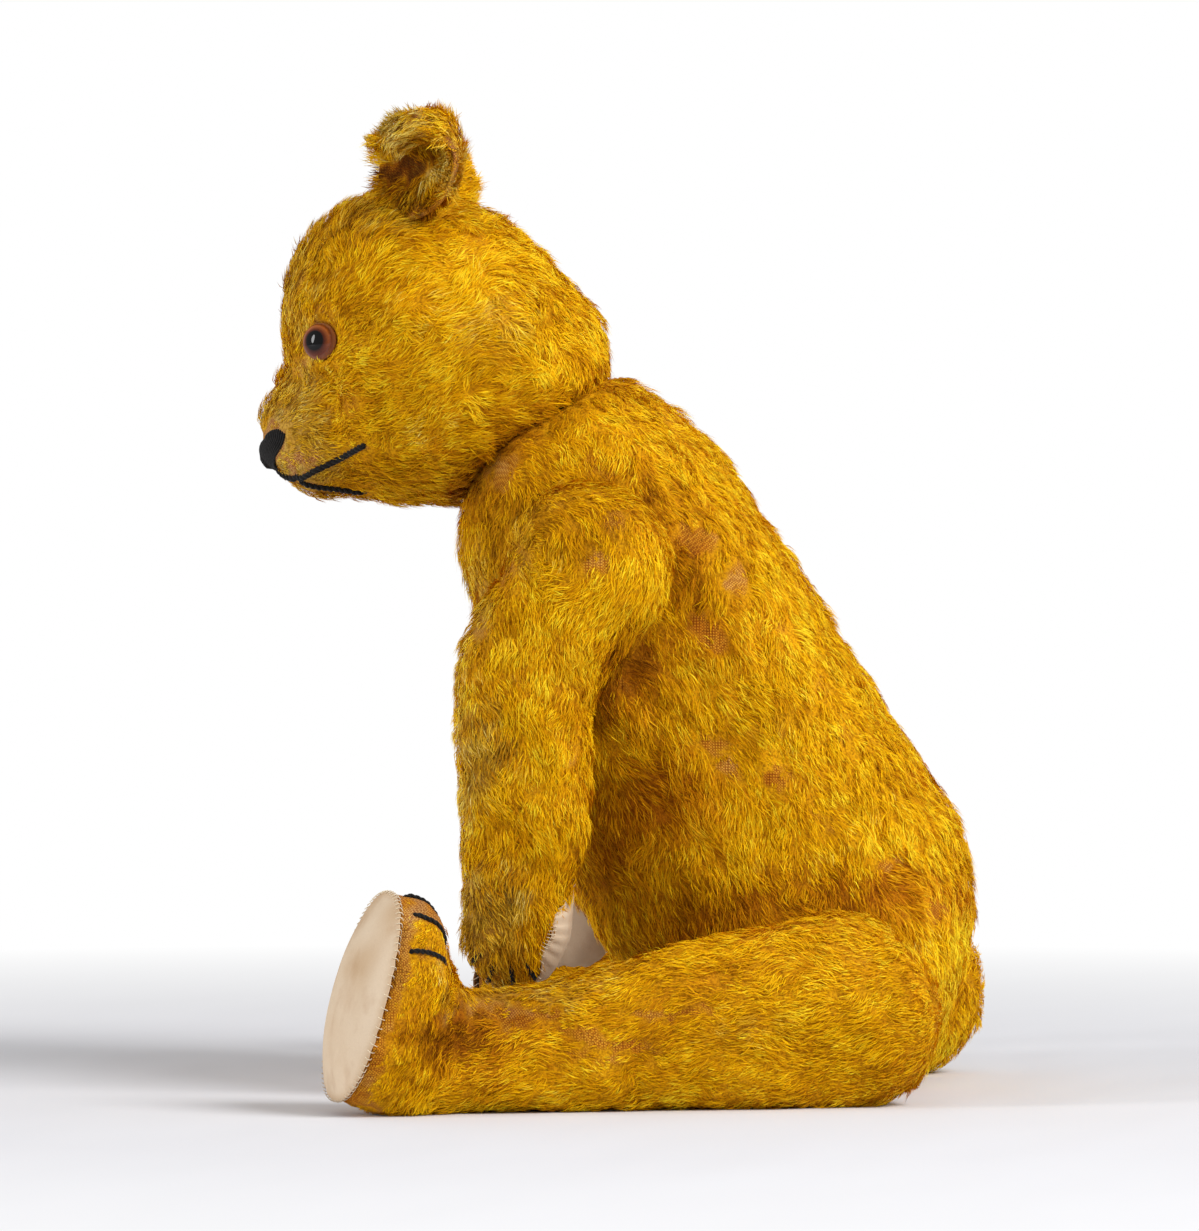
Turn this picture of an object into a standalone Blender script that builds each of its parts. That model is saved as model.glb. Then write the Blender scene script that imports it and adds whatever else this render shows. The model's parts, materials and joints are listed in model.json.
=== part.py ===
"""Old jointed mohair bear, sitting, about 37 cm high as it sits.

The torso, head, arms and legs are stuffed mohair. The head and the limbs turn on disc
joints: a cotter pin through two fibreboard discs and two steel washers, one of each on
either side of the cloth. The bear faces -Y and its own left is +X.
"""

from math import asin, cos, pi, radians, sin, sqrt

import bmesh
import bpy
from mathutils import Matrix, Vector
from mathutils.bvhtree import BVHTree

MM = 0.001
UP = Vector((0, 0, 1))

# Clearances
GAP = 0.3 * MM
FACE_GAP = GAP / 2  # each stuffed part stops this far short of its joint's plane
CLOSED = 1e-5  # points nearer than this are one
AWAY = 0.3  # metres, outside any skin

# Whole bear
FLOOR = 0.0
LEAN = radians(25.1)  # the spine leans forward, from upright
HEAD_TURN = radians(8)  # the head looks a little to its own left
SPLAY = radians(20)  # each leg turns out from straight ahead

# Disc joints
CLOTH = 2.4 * MM
DISC_THICK = 3.0 * MM
WASHER_RADIUS = 8.0 * MM
WASHER_THICK = 1.0 * MM
WIRE_RADIUS = 0.9 * MM
PIN_SPREAD = 1.05 * MM  # from the pin's middle to the middle of each of its legs
PIN_EYE_RADIUS = 2.6 * MM
PIN_CURL_RADIUS = 2.2 * MM
PIN_CURL = radians(200)
NECK_DISC_RADIUS = 22.0 * MM
ARM_DISC_RADIUS = 20.0 * MM
LEG_DISC_RADIUS = 17.0 * MM
DISC_WALL = 4.0 * MM  # stuffing left round a disc

# Joint places: X, Y, Z on the bear's left
NECK = Vector((0, -31.0, 246.0)) * MM
NECK_TILT = radians(38.3)  # the neck's axis leans forward, from upright
SHOULDER = Vector((57.3, -3.0, 195.0)) * MM
HIP = Vector((61.5, 84.5, 35.0)) * MM
LEG_BENDS = {1: 0.0, -1: 0.12}  # the right leg bends out a little, by this slope
LEG_BEND_FROM = 20.0 * MM  # from this far along the leg
BOSS_DEPTH = 26.0 * MM  # the torso swells out to meet each leg
SHOULDER_FLAT = 78.0 * MM  # the limbs press the torso flat inside these radii
HIP_FLAT = 62.0 * MM

# Limbs
ARM_ROUND = 30.0 * MM
ARM_THICK = 40.5 * MM
LEG_ROUND = 33.0 * MM
LEG_THICK = 50.0 * MM
LEG_UNDER = 38.0 * MM  # the leg's plump underside, before the floor flattens it
PRESSED = 8.0 * MM  # a limb's inner side, before the joint flattens it
PAD_THICK = 1.8 * MM
PAW_PAD_FROM = 112.0 * MM  # down from the shoulder
PAW_PAD_OUT = 16.5 * MM  # out from the shoulder joint's plane
PAW_BLOCK = 100.0 * MM  # past the paw on every other side
SOLE_BULGE = 8.5 * MM

# Face
EYE_RADIUS = 7.0 * MM
EYE_DEPTH = 4.6 * MM
EYE_BACK = 2.2 * MM
EYE_SUNK = 2.0 * MM
EYE_FLAT = 0.72  # the share of its back that is flat
EYE_EDGE = 0.4  # where its edge is, as a share of its back's depth
EYE_Y, EYE_Z = -114.0 * MM, 275.3 * MM
EYE_FORWARD = radians(28)  # the eyes look forward of straight sideways
SHANK_LENGTH = 9.0 * MM
SHANK_WIRE = 0.45 * MM
SHANK_SPREAD = 1.3 * MM
NOSE_AT = Vector((0, -133.0, 237.9)) * MM
NOSE_SIZE = (12.5 * MM, 9.0 * MM, 16.5 * MM)
NOSE_TILT = radians(-12)
THREAD_RADIUS = 0.9 * MM
THREAD_PROUD = 0.3 * MM  # the thread's middle above the cloth
THREAD_UNDER = 3.2 * MM  # and below it, where it runs on to the next stitch
THREAD_ROOM = 0.5 * MM  # round a thread in its groove
MOUTH_STEM_Z = (233.0 * MM, 227.0 * MM)
MOUTH_ENDS = [Vector(p) * MM for p in ((22, -95, 239), (15, -108, 232), (7, -119, 227))]
MOUTH_MIDDLE = Vector((0, -90.0, 245.0)) * MM  # inside the head

# Ears
EAR_RADIUS = 24.0 * MM
EAR_DISH = 8.0 * MM
EAR_THICK = 6.0 * MM
EAR_AT = Vector((37.0, -77.0, 341.0)) * MM
EAR_FACING = Vector((0.70, -0.70, 0.12)).normalized()
# (share of the radius, share of the thickness), round the ear from its front to its back
EAR_RINGS = [
    (0, 0),
    (0.35, 0),
    (0.65, 0),
    (0.87, 0),
    (0.97, 0.12),
    (1, 0.5),
    (0.97, 0.88),
    (0.85, 1),
    (0.6, 1),
    (0.3, 1),
    (0, 1),
]

# Claws
CLAW_LENGTH = 14.0 * MM
FOOT_CLAW_ANGLES = [radians(a) for a in (36, 60, 86, 112)]  # up from the outer side
FOOT_CLAW_FROM = 5.0 * MM  # back from the sole
HAND_CLAW_ANGLES = [radians(a) for a in (66, 41, 16, -9)]  # forward of straight down
HAND_CLAW_FAN = (17.0 * MM, -26.0 * MM, 131.0 * MM)  # their lines' middle, from the shoulder
HAND_CLAW_FROM, HAND_CLAW_TO = radians(42), radians(68)  # from straight out

# Torso sections in mm: distance down the spine from the neck joint, belly, back, half width
TORSO = [
    (-16, 8, 8, 0),
    (-13, -8, 24, 20),
    (0, -26, 38, 42),
    (15, -38, 48, 53),
    (35, -47, 53, 59.5),
    (58, -51, 57, 61.5),
    (90, -54, 60, 59.5),
    (130, -56, 64.5, 56.5),
    (167, -56, 70, 56.2),
    (193, -52.5, 72.5, 56.8),
    (213, -44, 72, 59),
    (230, -33, 68.5, 62.0),
    (245, -21, 60, 62.3),
    (258, -9, 46, 58),
    (270, 2, 34, 47),
    (279, 10, 25, 30),
    (284, 17, 17, 0),
]
TORSO_SQUARE = 2.35  # 2 is an ellipse, and more is squarer
TORSO_FOR = 57.3 * MM  # the half widths are for shoulder joints this far out, and follow them

# Head sections in mm, along its own axis from the back of the head to the nose:
# distance, under, top, half width
HEAD_START = Vector((0, -10.0, 300.0)) * MM
HEAD_DROP = radians(27.7)  # the head's axis points down by this
HEAD = [
    (8, -10, -10, 0),
    (11, -28, 10, 20),
    (19, -45, 34, 37),
    (30, -52, 51, 49),
    (43, -54, 61.5, 56.5),
    (58, -56, 69.5, 59.5),
    (72, -55, 71, 58.8),
    (86, -47, 67.5, 53.5),
    (98, -39, 60, 45),
    (106, -34, 51, 38.5),
    (112, -29.5, 40.5, 33),
    (118, -25, 27.5, 27.8),
    (125, -20, 20, 23),
    (131, -15, 16, 18.3),
    (135, -9.5, 11.5, 12.5),
    (137.5, 1, 1, 0),
]
HEAD_SQUARE = 2.0
HEAD_EGG = 0.13  # the cheeks are wider and the brow narrower by this share

# Arm sections in mm, down from the shoulder joint: distance, front, back, inner, outer.
# None is the plump inner side that the joint presses flat.
ARM = [
    (8, -35.5, 29, None, 40.5),
    (16, -38.8, 25.5, None, 40.3),
    (25, -41.2, 17.5, None, 40),
    (36, -43, 7, -1, 39.5),
    (50, -43.8, 1.2, 2.5, 39),
    (71, -43.8, 0.2, 3.5, 38),
    (96, -42.8, -2.2, 3.9, 36),
    (111, -42.2, -4.6, 3.7, 33.5),
    (124, -41, -7, 3.5, 31.2),
    (135.5, -39, -9.8, 3.8, 29.2),
    (145, -36, -14, 5.6, 25.8),
    (150.3, -31.5, -19, 9, 20.5),
    (152.6, -25, -25, 14.5, 14.5),
]
ARM_SQUARE = 2.3

# Leg sections in mm, out from the hip joint: distance, under, top, inner, outer, then
# how far the section moves on for each step up and for each step out
LEG = [
    (18, -38, 31.6, None, 50, 0, 0),
    (38, -38, 28, -0.5, 49.5, 0, 0),
    (56, -38, 24.2, 2, 48.7, 0, 0),
    (76, -38, 19, 3, 47.7, 0, 0),
    (95, -38, 14.5, 3.8, 46.4, 0, 0),
    (114, -37.5, 10, 4.6, 45, 0, 0),
    (129, -37, 7, 5.3, 44.2, 0, 0),
    (141, -37, 6.8, 5.7, 44.3, 0, 0),
    (149, -37, 14, 6.1, 47.7, -0.05, 0),
    (155, -36.5, 27, 6.5, 52.7, -0.12, -0.04),
    (161, -36, 37, 6.9, 57.6, -0.19, -0.09),
    (169, -34.5, 42.5, 7.3, 61, -0.24, -0.13),
    (179, -30, 44.5, 7.5, 62.3, -0.26, -0.14),
]
LEG_SQUARE = 2.3

ROUND_END = (0.97, 0.88, 0.72, 0.5, 0.25, 0.0)  # heights on a limb's round end
ROUND_SQUARE = 3.2
CAP_RINGS = (0.82, 0.56, 0.28)
BODY_SIDES, LIMB_SIDES, DISC_SIDES, SMALL_SIDES = 24, 16, 20, 14

# Worked out along a joint's axis, from its plane
CLOTH_END = FACE_GAP + CLOTH
DISC_END = CLOTH_END + GAP + DISC_THICK
WASHER_END = DISC_END + GAP + WASHER_THICK
PIN_HOLE_RADIUS = PIN_SPREAD + WIRE_RADIUS + GAP
PIN_EYE_OUTER = PIN_EYE_RADIUS + WIRE_RADIUS
PIN_EYE_AT = WASHER_END + GAP + sqrt(PIN_EYE_OUTER**2 - PIN_HOLE_RADIUS**2)
PIN_CURL_AT = WASHER_END + GAP + WIRE_RADIUS - PIN_CURL_RADIUS * sin(PIN_CURL)
POCKET_END = PIN_EYE_AT + PIN_EYE_OUTER + GAP

COLOURS = {
    "mohair": ((0.60, 0.33, 0.03), 0.85, 0.0),
    "felt": ((0.74, 0.60, 0.45), 0.9, 0.0),
    "thread": ((0.015, 0.013, 0.012), 0.7, 0.0),
    "glass": ((0.30, 0.09, 0.03), 0.1, 0.0),
    "steel": ((0.55, 0.55, 0.54), 0.35, 1.0),
    "fibreboard": ((0.36, 0.25, 0.16), 0.8, 0.0),
}


# Scene


def collection(name):
    group = bpy.data.collections.new(name)
    bpy.context.scene.collection.children.link(group)
    return group


def coloured(name, kind):
    colour, roughness, metallic = COLOURS[kind]
    made = bpy.data.materials.new(name)
    made.use_nodes = True
    shader = made.node_tree.nodes["Principled BSDF"]
    shader.inputs["Base Color"].default_value = (*colour, 1.0)
    shader.inputs["Roughness"].default_value = roughness
    shader.inputs["Metallic"].default_value = metallic
    return made


class Pivot:
    """An empty on a joint's axis, with local X out along the axis.

    Parts are drawn where they lie with the joint straight, and then turn with it.
    """

    def __init__(self, name, at, axis, turn=0.0):
        along = axis.normalized()
        reference = UP if abs(along.z) < 0.7 else Vector((1, 0, 0))
        across = reference.cross(along).normalized()
        columns = Matrix((along, across, along.cross(across))).transposed()
        self.straight = Matrix.Translation(at) @ columns.to_4x4()
        self.empty = bpy.data.objects.new(name, None)
        PARTS.objects.link(self.empty)
        self.empty.parent = ROOT
        self.empty.matrix_basis = self.straight @ Matrix.Rotation(turn, 4, "X")

    def hold(self, thing, place):
        thing.parent = self.empty
        thing.matrix_basis = self.straight.inverted() @ place


def part(name, mesh, kind, pivot, place=Matrix()):
    made = bpy.data.objects.new(name, mesh)
    PARTS.objects.link(made)
    mesh.materials.append(coloured(name, kind))
    pivot.hold(made, place)
    return made


def cutter(name, mesh, pivot, place=Matrix()):
    made = bpy.data.objects.new(name, mesh)
    CUTTERS.objects.link(made)
    pivot.hold(made, place)
    made.hide_render = True
    made.display_type = "WIRE"
    return made


def boolean(thing, tool, operation="DIFFERENCE"):
    modifier = thing.modifiers.new(tool.name, "BOOLEAN")
    modifier.operation = operation
    modifier.solver = "EXACT"
    modifier.object = tool


def weld(thing):
    """Closes hairline edges between two cuts."""
    modifier = thing.modifiers.new("Weld", "WELD")
    modifier.merge_threshold = 2 * CLOSED


def turn(thing, sides):
    """Turns a profile about its own X."""
    screw = thing.modifiers.new("Turn", "SCREW")
    screw.axis = "X"
    screw.steps = sides
    screw.render_steps = sides
    screw.use_merge_vertices = True
    screw.merge_threshold = CLOSED
    return thing


# Shapes


def mesh_from(bm, name):
    bmesh.ops.recalc_face_normals(bm, faces=bm.faces)
    mesh = bpy.data.meshes.new(name)
    bm.to_mesh(mesh)
    bm.free()
    return mesh


def power(value, exponent):
    return (1 if value >= 0 else -1) * abs(value) ** exponent


def section(sides, square, low_a, high_a, low_b, high_b):
    """Pairs round a section between two limits each way."""
    pairs = []
    for k in range(sides):
        angle = 2 * pi * k / sides
        a = (low_a + high_a + (high_a - low_a) * power(cos(angle), 2 / square)) / 2
        b = (low_b + high_b + (high_b - low_b) * power(sin(angle), 2 / square)) / 2
        pairs.append((a, b))
    return pairs


def loft(name, rings):
    """A closed skin over rings of points, where an end ring may be one point."""
    bm = bmesh.new()
    loops = [[bm.verts.new(p) for p in ring] for ring in rings]
    for low, high in zip(loops, loops[1:]):
        sides = max(len(low), len(high))
        for k in range(sides):
            n = (k + 1) % sides
            corners = [low[k % len(low)], low[n % len(low)]]
            corners += [high[n % len(high)], high[k % len(high)]]
            bm.faces.new(list(dict.fromkeys(corners)))
    return mesh_from(bm, name)


def press(mesh, point, outward):
    """Flattens a skin where it meets a joint's plane or the floor."""
    bm = bmesh.new()
    bm.from_mesh(mesh)
    everything = bm.verts[:] + bm.edges[:] + bm.faces[:]
    edge = bmesh.ops.bisect_plane(
        bm, geom=everything, plane_co=point, plane_no=outward, clear_outer=True, dist=1e-6
    )["geom_cut"]
    edge = [e for e in edge if isinstance(e, bmesh.types.BMEdge)]
    bmesh.ops.holes_fill(bm, edges=edge)
    bmesh.ops.recalc_face_normals(bm, faces=bm.faces)
    bm.to_mesh(mesh)
    bm.free()


def outline(name, points, closed=False):
    """A profile of (along, radius) points that advance along its outer side.

    Turned about X it must run the other way, or the solid is inside out.
    """
    bm = bmesh.new()
    line = [bm.verts.new((along, radius, 0)) for along, radius in reversed(points)]
    pairs = list(zip(line, line[1:]))
    if closed:
        pairs.append((line[-1], line[0]))
    for pair in pairs:
        bm.edges.new(pair)
    mesh = bpy.data.meshes.new(name)
    bm.to_mesh(mesh)
    bm.free()
    return mesh


def flat_ring(name, hole, radius, start, thick):
    """The profile of a disc or washer with a hole."""
    points = [(start, hole), (start, radius), (start + thick, radius), (start + thick, hole)]
    return outline(name, points, closed=True)


def strand(name, points, radius, resolution=1):
    """A round wire or thread through points, as a mesh."""
    curve = bpy.data.curves.new(name, "CURVE")
    curve.dimensions = "3D"
    curve.bevel_depth = radius
    curve.bevel_resolution = resolution
    curve.use_fill_caps = True
    line = curve.splines.new("POLY")
    line.points.add(len(points) - 1)
    for spot, place in zip(line.points, points):
        spot.co = (*place, 1)
    holder = bpy.data.objects.new(name, curve)
    bpy.context.scene.collection.objects.link(holder)
    graph = bpy.context.evaluated_depsgraph_get()
    drawn = bpy.data.meshes.new_from_object(holder.evaluated_get(graph))
    bpy.data.objects.remove(holder)
    bpy.data.curves.remove(curve)
    bm = bmesh.new()
    bm.from_mesh(drawn)
    bmesh.ops.remove_doubles(bm, verts=bm.verts, dist=1e-6)
    bpy.data.meshes.remove(drawn)
    return mesh_from(bm, name)


def surface(mesh):
    bm = bmesh.new()
    bm.from_mesh(mesh)
    tree = BVHTree.FromBMesh(bm)
    bm.free()
    return tree


# Joints


def joint_cutter(name, pivot, disc_radius):
    """The pockets on both sides of a joint, and the pin's hole between them."""
    pocket = disc_radius + GAP
    half = [(CLOTH_END, PIN_HOLE_RADIUS), (CLOTH_END, pocket), (POCKET_END, pocket), (POCKET_END, 0)]
    points = [(-along, radius) for along, radius in reversed(half)] + half
    return turn(cutter(name + "_pockets", outline(name, points), pivot, pivot.straight), DISC_SIDES)


def pin_points():
    """One wire: a curl in the torso, a leg, the eye in the limb, a leg and a curl."""
    legs_meet = pi - asin(PIN_SPREAD / PIN_EYE_RADIUS)
    curl = []
    for step in range(5):
        angle = PIN_CURL * step / 4
        y = PIN_SPREAD + PIN_CURL_RADIUS * (1 - cos(angle))
        curl.append(Vector((-PIN_CURL_AT - PIN_CURL_RADIUS * sin(angle), y, 0)))
    eye = []
    for step in range(9):
        angle = legs_meet * (1 - step / 4)
        eye.append(Vector((PIN_EYE_AT + PIN_EYE_RADIUS * cos(angle), PIN_EYE_RADIUS * sin(angle), 0)))
    other = [Vector((p.x, -p.y, 0)) for p in curl]
    return curl[::-1] + eye + other


def disc_joint(name, limb, torso_pivot, limb_pivot, disc_radius):
    """The five pieces of a disc joint. The pin turns with the limb."""
    for owner, sign, pivot in (("torso", -1, torso_pivot), (limb, 1, limb_pivot)):
        near = CLOTH_END + GAP
        start = near if sign > 0 else -near - DISC_THICK
        label = f"{name}_{owner}_disc"
        disc = flat_ring(label, PIN_HOLE_RADIUS, disc_radius, start, DISC_THICK)
        turn(part(label, disc, "fibreboard", pivot, pivot.straight), DISC_SIDES)
        near = DISC_END + GAP
        start = near if sign > 0 else -near - WASHER_THICK
        label = f"{name}_{owner}_washer"
        washer = flat_ring(label, PIN_HOLE_RADIUS, WASHER_RADIUS, start, WASHER_THICK)
        turn(part(label, washer, "steel", pivot, pivot.straight), SMALL_SIDES)
    pin = strand(f"{name}_pin", pin_points(), WIRE_RADIUS)
    part(f"{name}_pin", pin, "steel", limb_pivot, limb_pivot.straight)


# Torso


def torso_point(along, across, x):
    spine = Vector((0, sin(LEAN), -cos(LEAN)))
    back = Vector((0, cos(LEAN), sin(LEAN)))
    return NECK + along * spine + across * back + Vector((x, 0, 0))


def torso_skin():
    rings = []
    widen = round(SHOULDER.x / TORSO_FOR, 6)  # a Vector keeps seven figures
    for along, belly, back, half in TORSO:
        half *= widen
        if half == 0:
            rings.append([torso_point(along * MM, belly * MM, 0)])
        else:
            pairs = section(BODY_SIDES, TORSO_SQUARE, belly, back, -half, half)
            rings.append([torso_point(along * MM, a * MM, b * MM) for a, b in pairs])
    mesh = loft("torso", rings)
    press(mesh, NECK - FACE_GAP * NECK_AXIS, NECK_AXIS)
    press(mesh, Vector((0, 0, FLOOR)), -UP)
    return mesh


def make_torso(joints):
    torso = part("torso", torso_skin(), "mohair", BODY)
    for side, word in SIDES:
        hip = joints["hip_" + word]
        radius = LEG_DISC_RADIUS + DISC_WALL
        boss = [(-BOSS_DEPTH, 0), (-BOSS_DEPTH, radius), (PRESSED, radius), (PRESSED, 0)]
        boss = outline("hip_boss_" + word, boss)
        boss = turn(cutter("hip_boss_" + word, boss, hip, hip.straight), BODY_SIDES)
        boolean(torso, boss, "UNION")
        for name, radius in (("hip_" + word, HIP_FLAT), ("shoulder_" + word, SHOULDER_FLAT)):
            drum = [(-FACE_GAP, 0), (-FACE_GAP, radius), (LEG_THICK, radius), (LEG_THICK, 0)]
            drum = outline(name + "_flat", drum)
            drum = cutter(name + "_flat", drum, joints[name], joints[name].straight)
            boolean(torso, turn(drum, BODY_SIDES))
            weld(torso)
    return torso


# Head


def head_point(along, up, x):
    forward = Vector((0, -cos(HEAD_DROP), -sin(HEAD_DROP)))
    crown = Vector((0, -sin(HEAD_DROP), cos(HEAD_DROP)))
    return HEAD_START + along * forward + up * crown + Vector((x, 0, 0))


def head_skin(name, grown=0.0):
    rings = []
    for along, under, top, half in HEAD:
        if half == 0:
            rings.append([head_point(along * MM, under * MM, 0)])
            continue
        wide = half * MM + grown
        pairs = section(BODY_SIDES, HEAD_SQUARE, under * MM - grown, top * MM + grown, -wide, wide)
        middle = (under + top) / 2 * MM
        tall = (top - under) / 2 * MM + grown
        ring = [(a, b * (1 - HEAD_EGG * (a - middle) / tall)) for a, b in pairs]
        rings.append([head_point(along * MM, a, b) for a, b in ring])
    mesh = loft(name, rings)
    press(mesh, NECK + FACE_GAP * NECK_AXIS, -NECK_AXIS)
    return mesh


def eye_frame(skin, side):
    """Local X runs out through the middle of the eye."""
    outward = Vector((side * cos(EYE_FORWARD), -sin(EYE_FORWARD), 0))
    spot = skin.ray_cast(Vector((side, EYE_Y, EYE_Z)), Vector((-side, 0, 0)))[0]
    across = UP.cross(outward).normalized()
    turned = Matrix((outward, across, outward.cross(across))).transposed().to_4x4()
    return Matrix.Translation(spot - EYE_SUNK * outward) @ turned


def glass_profile(grown=0.0):
    """A shallow button of glass, domed in front: (along, radius) from back to front."""
    radius = EYE_RADIUS + grown
    back = -EYE_BACK - grown
    points = [(back, 0), (back, EYE_FLAT * radius), (-EYE_EDGE * EYE_BACK, radius)]
    for step in range(5):
        angle = pi / 2 * step / 4
        points.append(((EYE_DEPTH + grown) * sin(angle), radius * cos(angle)))
    return points[:-1] + [(points[-1][0], 0)]


def make_eye(head, skin, side, word):
    place = eye_frame(skin, side)
    eye = part("eye_" + word, outline("eye_" + word, glass_profile()), "glass", HEAD_PIVOT, place)
    turn(eye, SMALL_SIDES)
    back = -EYE_BACK - GAP - SHANK_WIRE
    end = back - SHANK_LENGTH
    bend = [(end + SHANK_SPREAD * (1 - cos(a)), SHANK_SPREAD * sin(a)) for a in (-1.0, 0.0, 1.0)]
    loop = [(back, -SHANK_SPREAD), *bend, (back, SHANK_SPREAD)]
    wire = strand("eye_shank_" + word, [Vector((x, y, 0)) for x, y in loop], SHANK_WIRE)
    part("eye_shank_" + word, wire, "steel", HEAD_PIVOT, place)
    channel = SHANK_SPREAD + SHANK_WIRE + GAP
    back = -EYE_BACK - GAP
    depth = end - SHANK_WIRE - GAP
    hollow = [(depth, 0), (depth, channel), (back, channel)] + glass_profile(GAP)[1:-1]
    hollow += [(EYE_DEPTH + EYE_RADIUS, EYE_RADIUS), (EYE_DEPTH + EYE_RADIUS, 0)]
    socket = cutter("eye_socket_" + word, outline("eye_socket_" + word, hollow), HEAD_PIVOT, place)
    boolean(head, turn(socket, SMALL_SIDES))


def nose_skin(name, grown):
    bm = bmesh.new()
    size = [s / 2 + grown for s in NOSE_SIZE]
    bmesh.ops.create_uvsphere(
        bm, u_segments=SMALL_SIDES, v_segments=8, radius=1, matrix=Matrix.Diagonal((*size, 1))
    )
    return mesh_from(bm, name)


def make_nose(head):
    place = Matrix.Translation(NOSE_AT) @ Matrix.Rotation(NOSE_TILT, 4, "X")
    part("nose_stitching", nose_skin("nose_stitching", 0), "thread", HEAD_PIVOT, place)
    boolean(head, cutter("nose_seat", nose_skin("nose_seat", GAP), HEAD_PIVOT, place))


def on_skin(skin, start, direction, proud):
    """The point where a line meets the skin, lifted off it."""
    spot, normal, _, _ = skin.ray_cast(start, direction)
    if normal.dot(direction) > 0:
        normal = -normal
    return spot + proud * normal


def mouth_lines(skin):
    """The stem below the nose, and the smile, each a line of points."""
    back = Vector((0, 1, 0))
    stem = []
    for step in range(4):
        z = MOUTH_STEM_Z[0] + (MOUTH_STEM_Z[1] - MOUTH_STEM_Z[0]) * step / 3
        stem.append(on_skin(skin, Vector((0, -AWAY, z)), back, THREAD_PROUD))
    left = []
    for end in MOUTH_ENDS:
        inward = (MOUTH_MIDDLE - end).normalized()
        left.append(on_skin(skin, end - AWAY * inward, inward, THREAD_PROUD))
    right = [Vector((-p.x, p.y, p.z)) for p in reversed(left)]
    return stem, left + [stem[-1].copy()] + right


def make_mouth(head, skin):
    stem, smile = mouth_lines(skin)
    mouth = part("mouth_stitching", strand("mouth_stitching", smile, THREAD_RADIUS), "thread", HEAD_PIVOT)
    boolean(mouth, cutter("mouth_stem", strand("mouth_stem", stem, THREAD_RADIUS), HEAD_PIVOT), "UNION")
    for name, line in (("mouth_stem_groove", stem), ("mouth_smile_groove", smile)):
        first = line[0] + (line[0] - line[1]).normalized() * THREAD_ROOM
        last = line[-1] + (line[-1] - line[-2]).normalized() * THREAD_ROOM
        groove = strand(name, [first, *line[1:-1], last], THREAD_RADIUS + THREAD_ROOM)
        boolean(head, cutter(name, groove, HEAD_PIVOT))


def make_ear(side, word):
    """A cupped ear, open to the front, trimmed to the head it is sewn to."""
    facing = Vector((side * EAR_FACING.x, EAR_FACING.y, EAR_FACING.z))
    middle = Vector((side * EAR_AT.x, EAR_AT.y, EAR_AT.z))
    across = UP.cross(facing).normalized()
    high = facing.cross(across)

    def ring(share, behind):
        radius = share * EAR_RADIUS
        depth = EAR_DISH * (share**2 - 1) - behind
        if share == 0:
            return [middle + depth * facing]
        angles = [2 * pi * k / LIMB_SIDES for k in range(LIMB_SIDES)]
        return [middle + radius * (cos(a) * across + sin(a) * high) + depth * facing for a in angles]

    rings = [ring(share, behind * EAR_THICK) for share, behind in EAR_RINGS]
    ear = part("ear_" + word, loft("ear_" + word, rings), "mohair", HEAD_PIVOT)
    seat = cutter("ear_seat_" + word, head_skin("ear_seat_" + word, GAP), HEAD_PIVOT)
    boolean(ear, seat)


# Arms


def round_end(radius):
    """(height, share of the height's reach, share of the thickness), from the tip."""
    rows = []
    for share in ROUND_END:
        reach = sqrt(1 - share**2)
        rows.append((share * radius, reach * radius, (1 - share**ROUND_SQUARE) ** (1 / ROUND_SQUARE)))
    return rows


def arm_skin(name, side, inset=0.0):
    middle = (ARM_THICK - PRESSED) / 2
    half = (ARM_THICK + PRESSED) / 2 - inset
    rows = [(-height, -reach, reach, middle - k * half, middle + k * half)
            for height, reach, k in round_end(ARM_ROUND - inset)]
    for row in ARM[:-1]:
        down, front, back, inner, outer = [-PRESSED if v is None else v * MM for v in row]
        rows.append((down, front + inset, back - inset, inner + inset, outer - inset))
    tip = [v * MM for v in ARM[-1]]

    def point(down, y, x):
        return Vector((side * (SHOULDER.x + x), SHOULDER.y + y, SHOULDER.z - down))

    rings = [[point(inset - ARM_ROUND, 0, middle)]]
    for down, front, back, inner, outer in rows:
        pairs = section(LIMB_SIDES, ARM_SQUARE, front, back, inner, outer)
        rings.append([point(down, a, b) for a, b in pairs])
    rings.append([point(tip[0] - inset, tip[1], tip[3])])
    mesh = loft(name, rings)
    press(mesh, Vector((side * (SHOULDER.x + FACE_GAP), 0, 0)), Vector((-side, 0, 0)))
    return mesh


def paw_region(name, side, margin):
    """A block round the inner half of the paw, where the pad is sewn."""
    bm = bmesh.new()
    low = SHOULDER.z - PAW_PAD_FROM - PAW_BLOCK
    high = SHOULDER.z - PAW_PAD_FROM - margin
    near = SHOULDER.x - PAW_BLOCK
    far = SHOULDER.x + PAW_PAD_OUT - margin
    place = Matrix.Translation((side * (near + far) / 2, SHOULDER.y, (low + high) / 2))
    size = Matrix.Diagonal((far - near, 2 * PAW_BLOCK, high - low, 1))
    bmesh.ops.create_cube(bm, size=1, matrix=place @ size)
    return mesh_from(bm, name)


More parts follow.
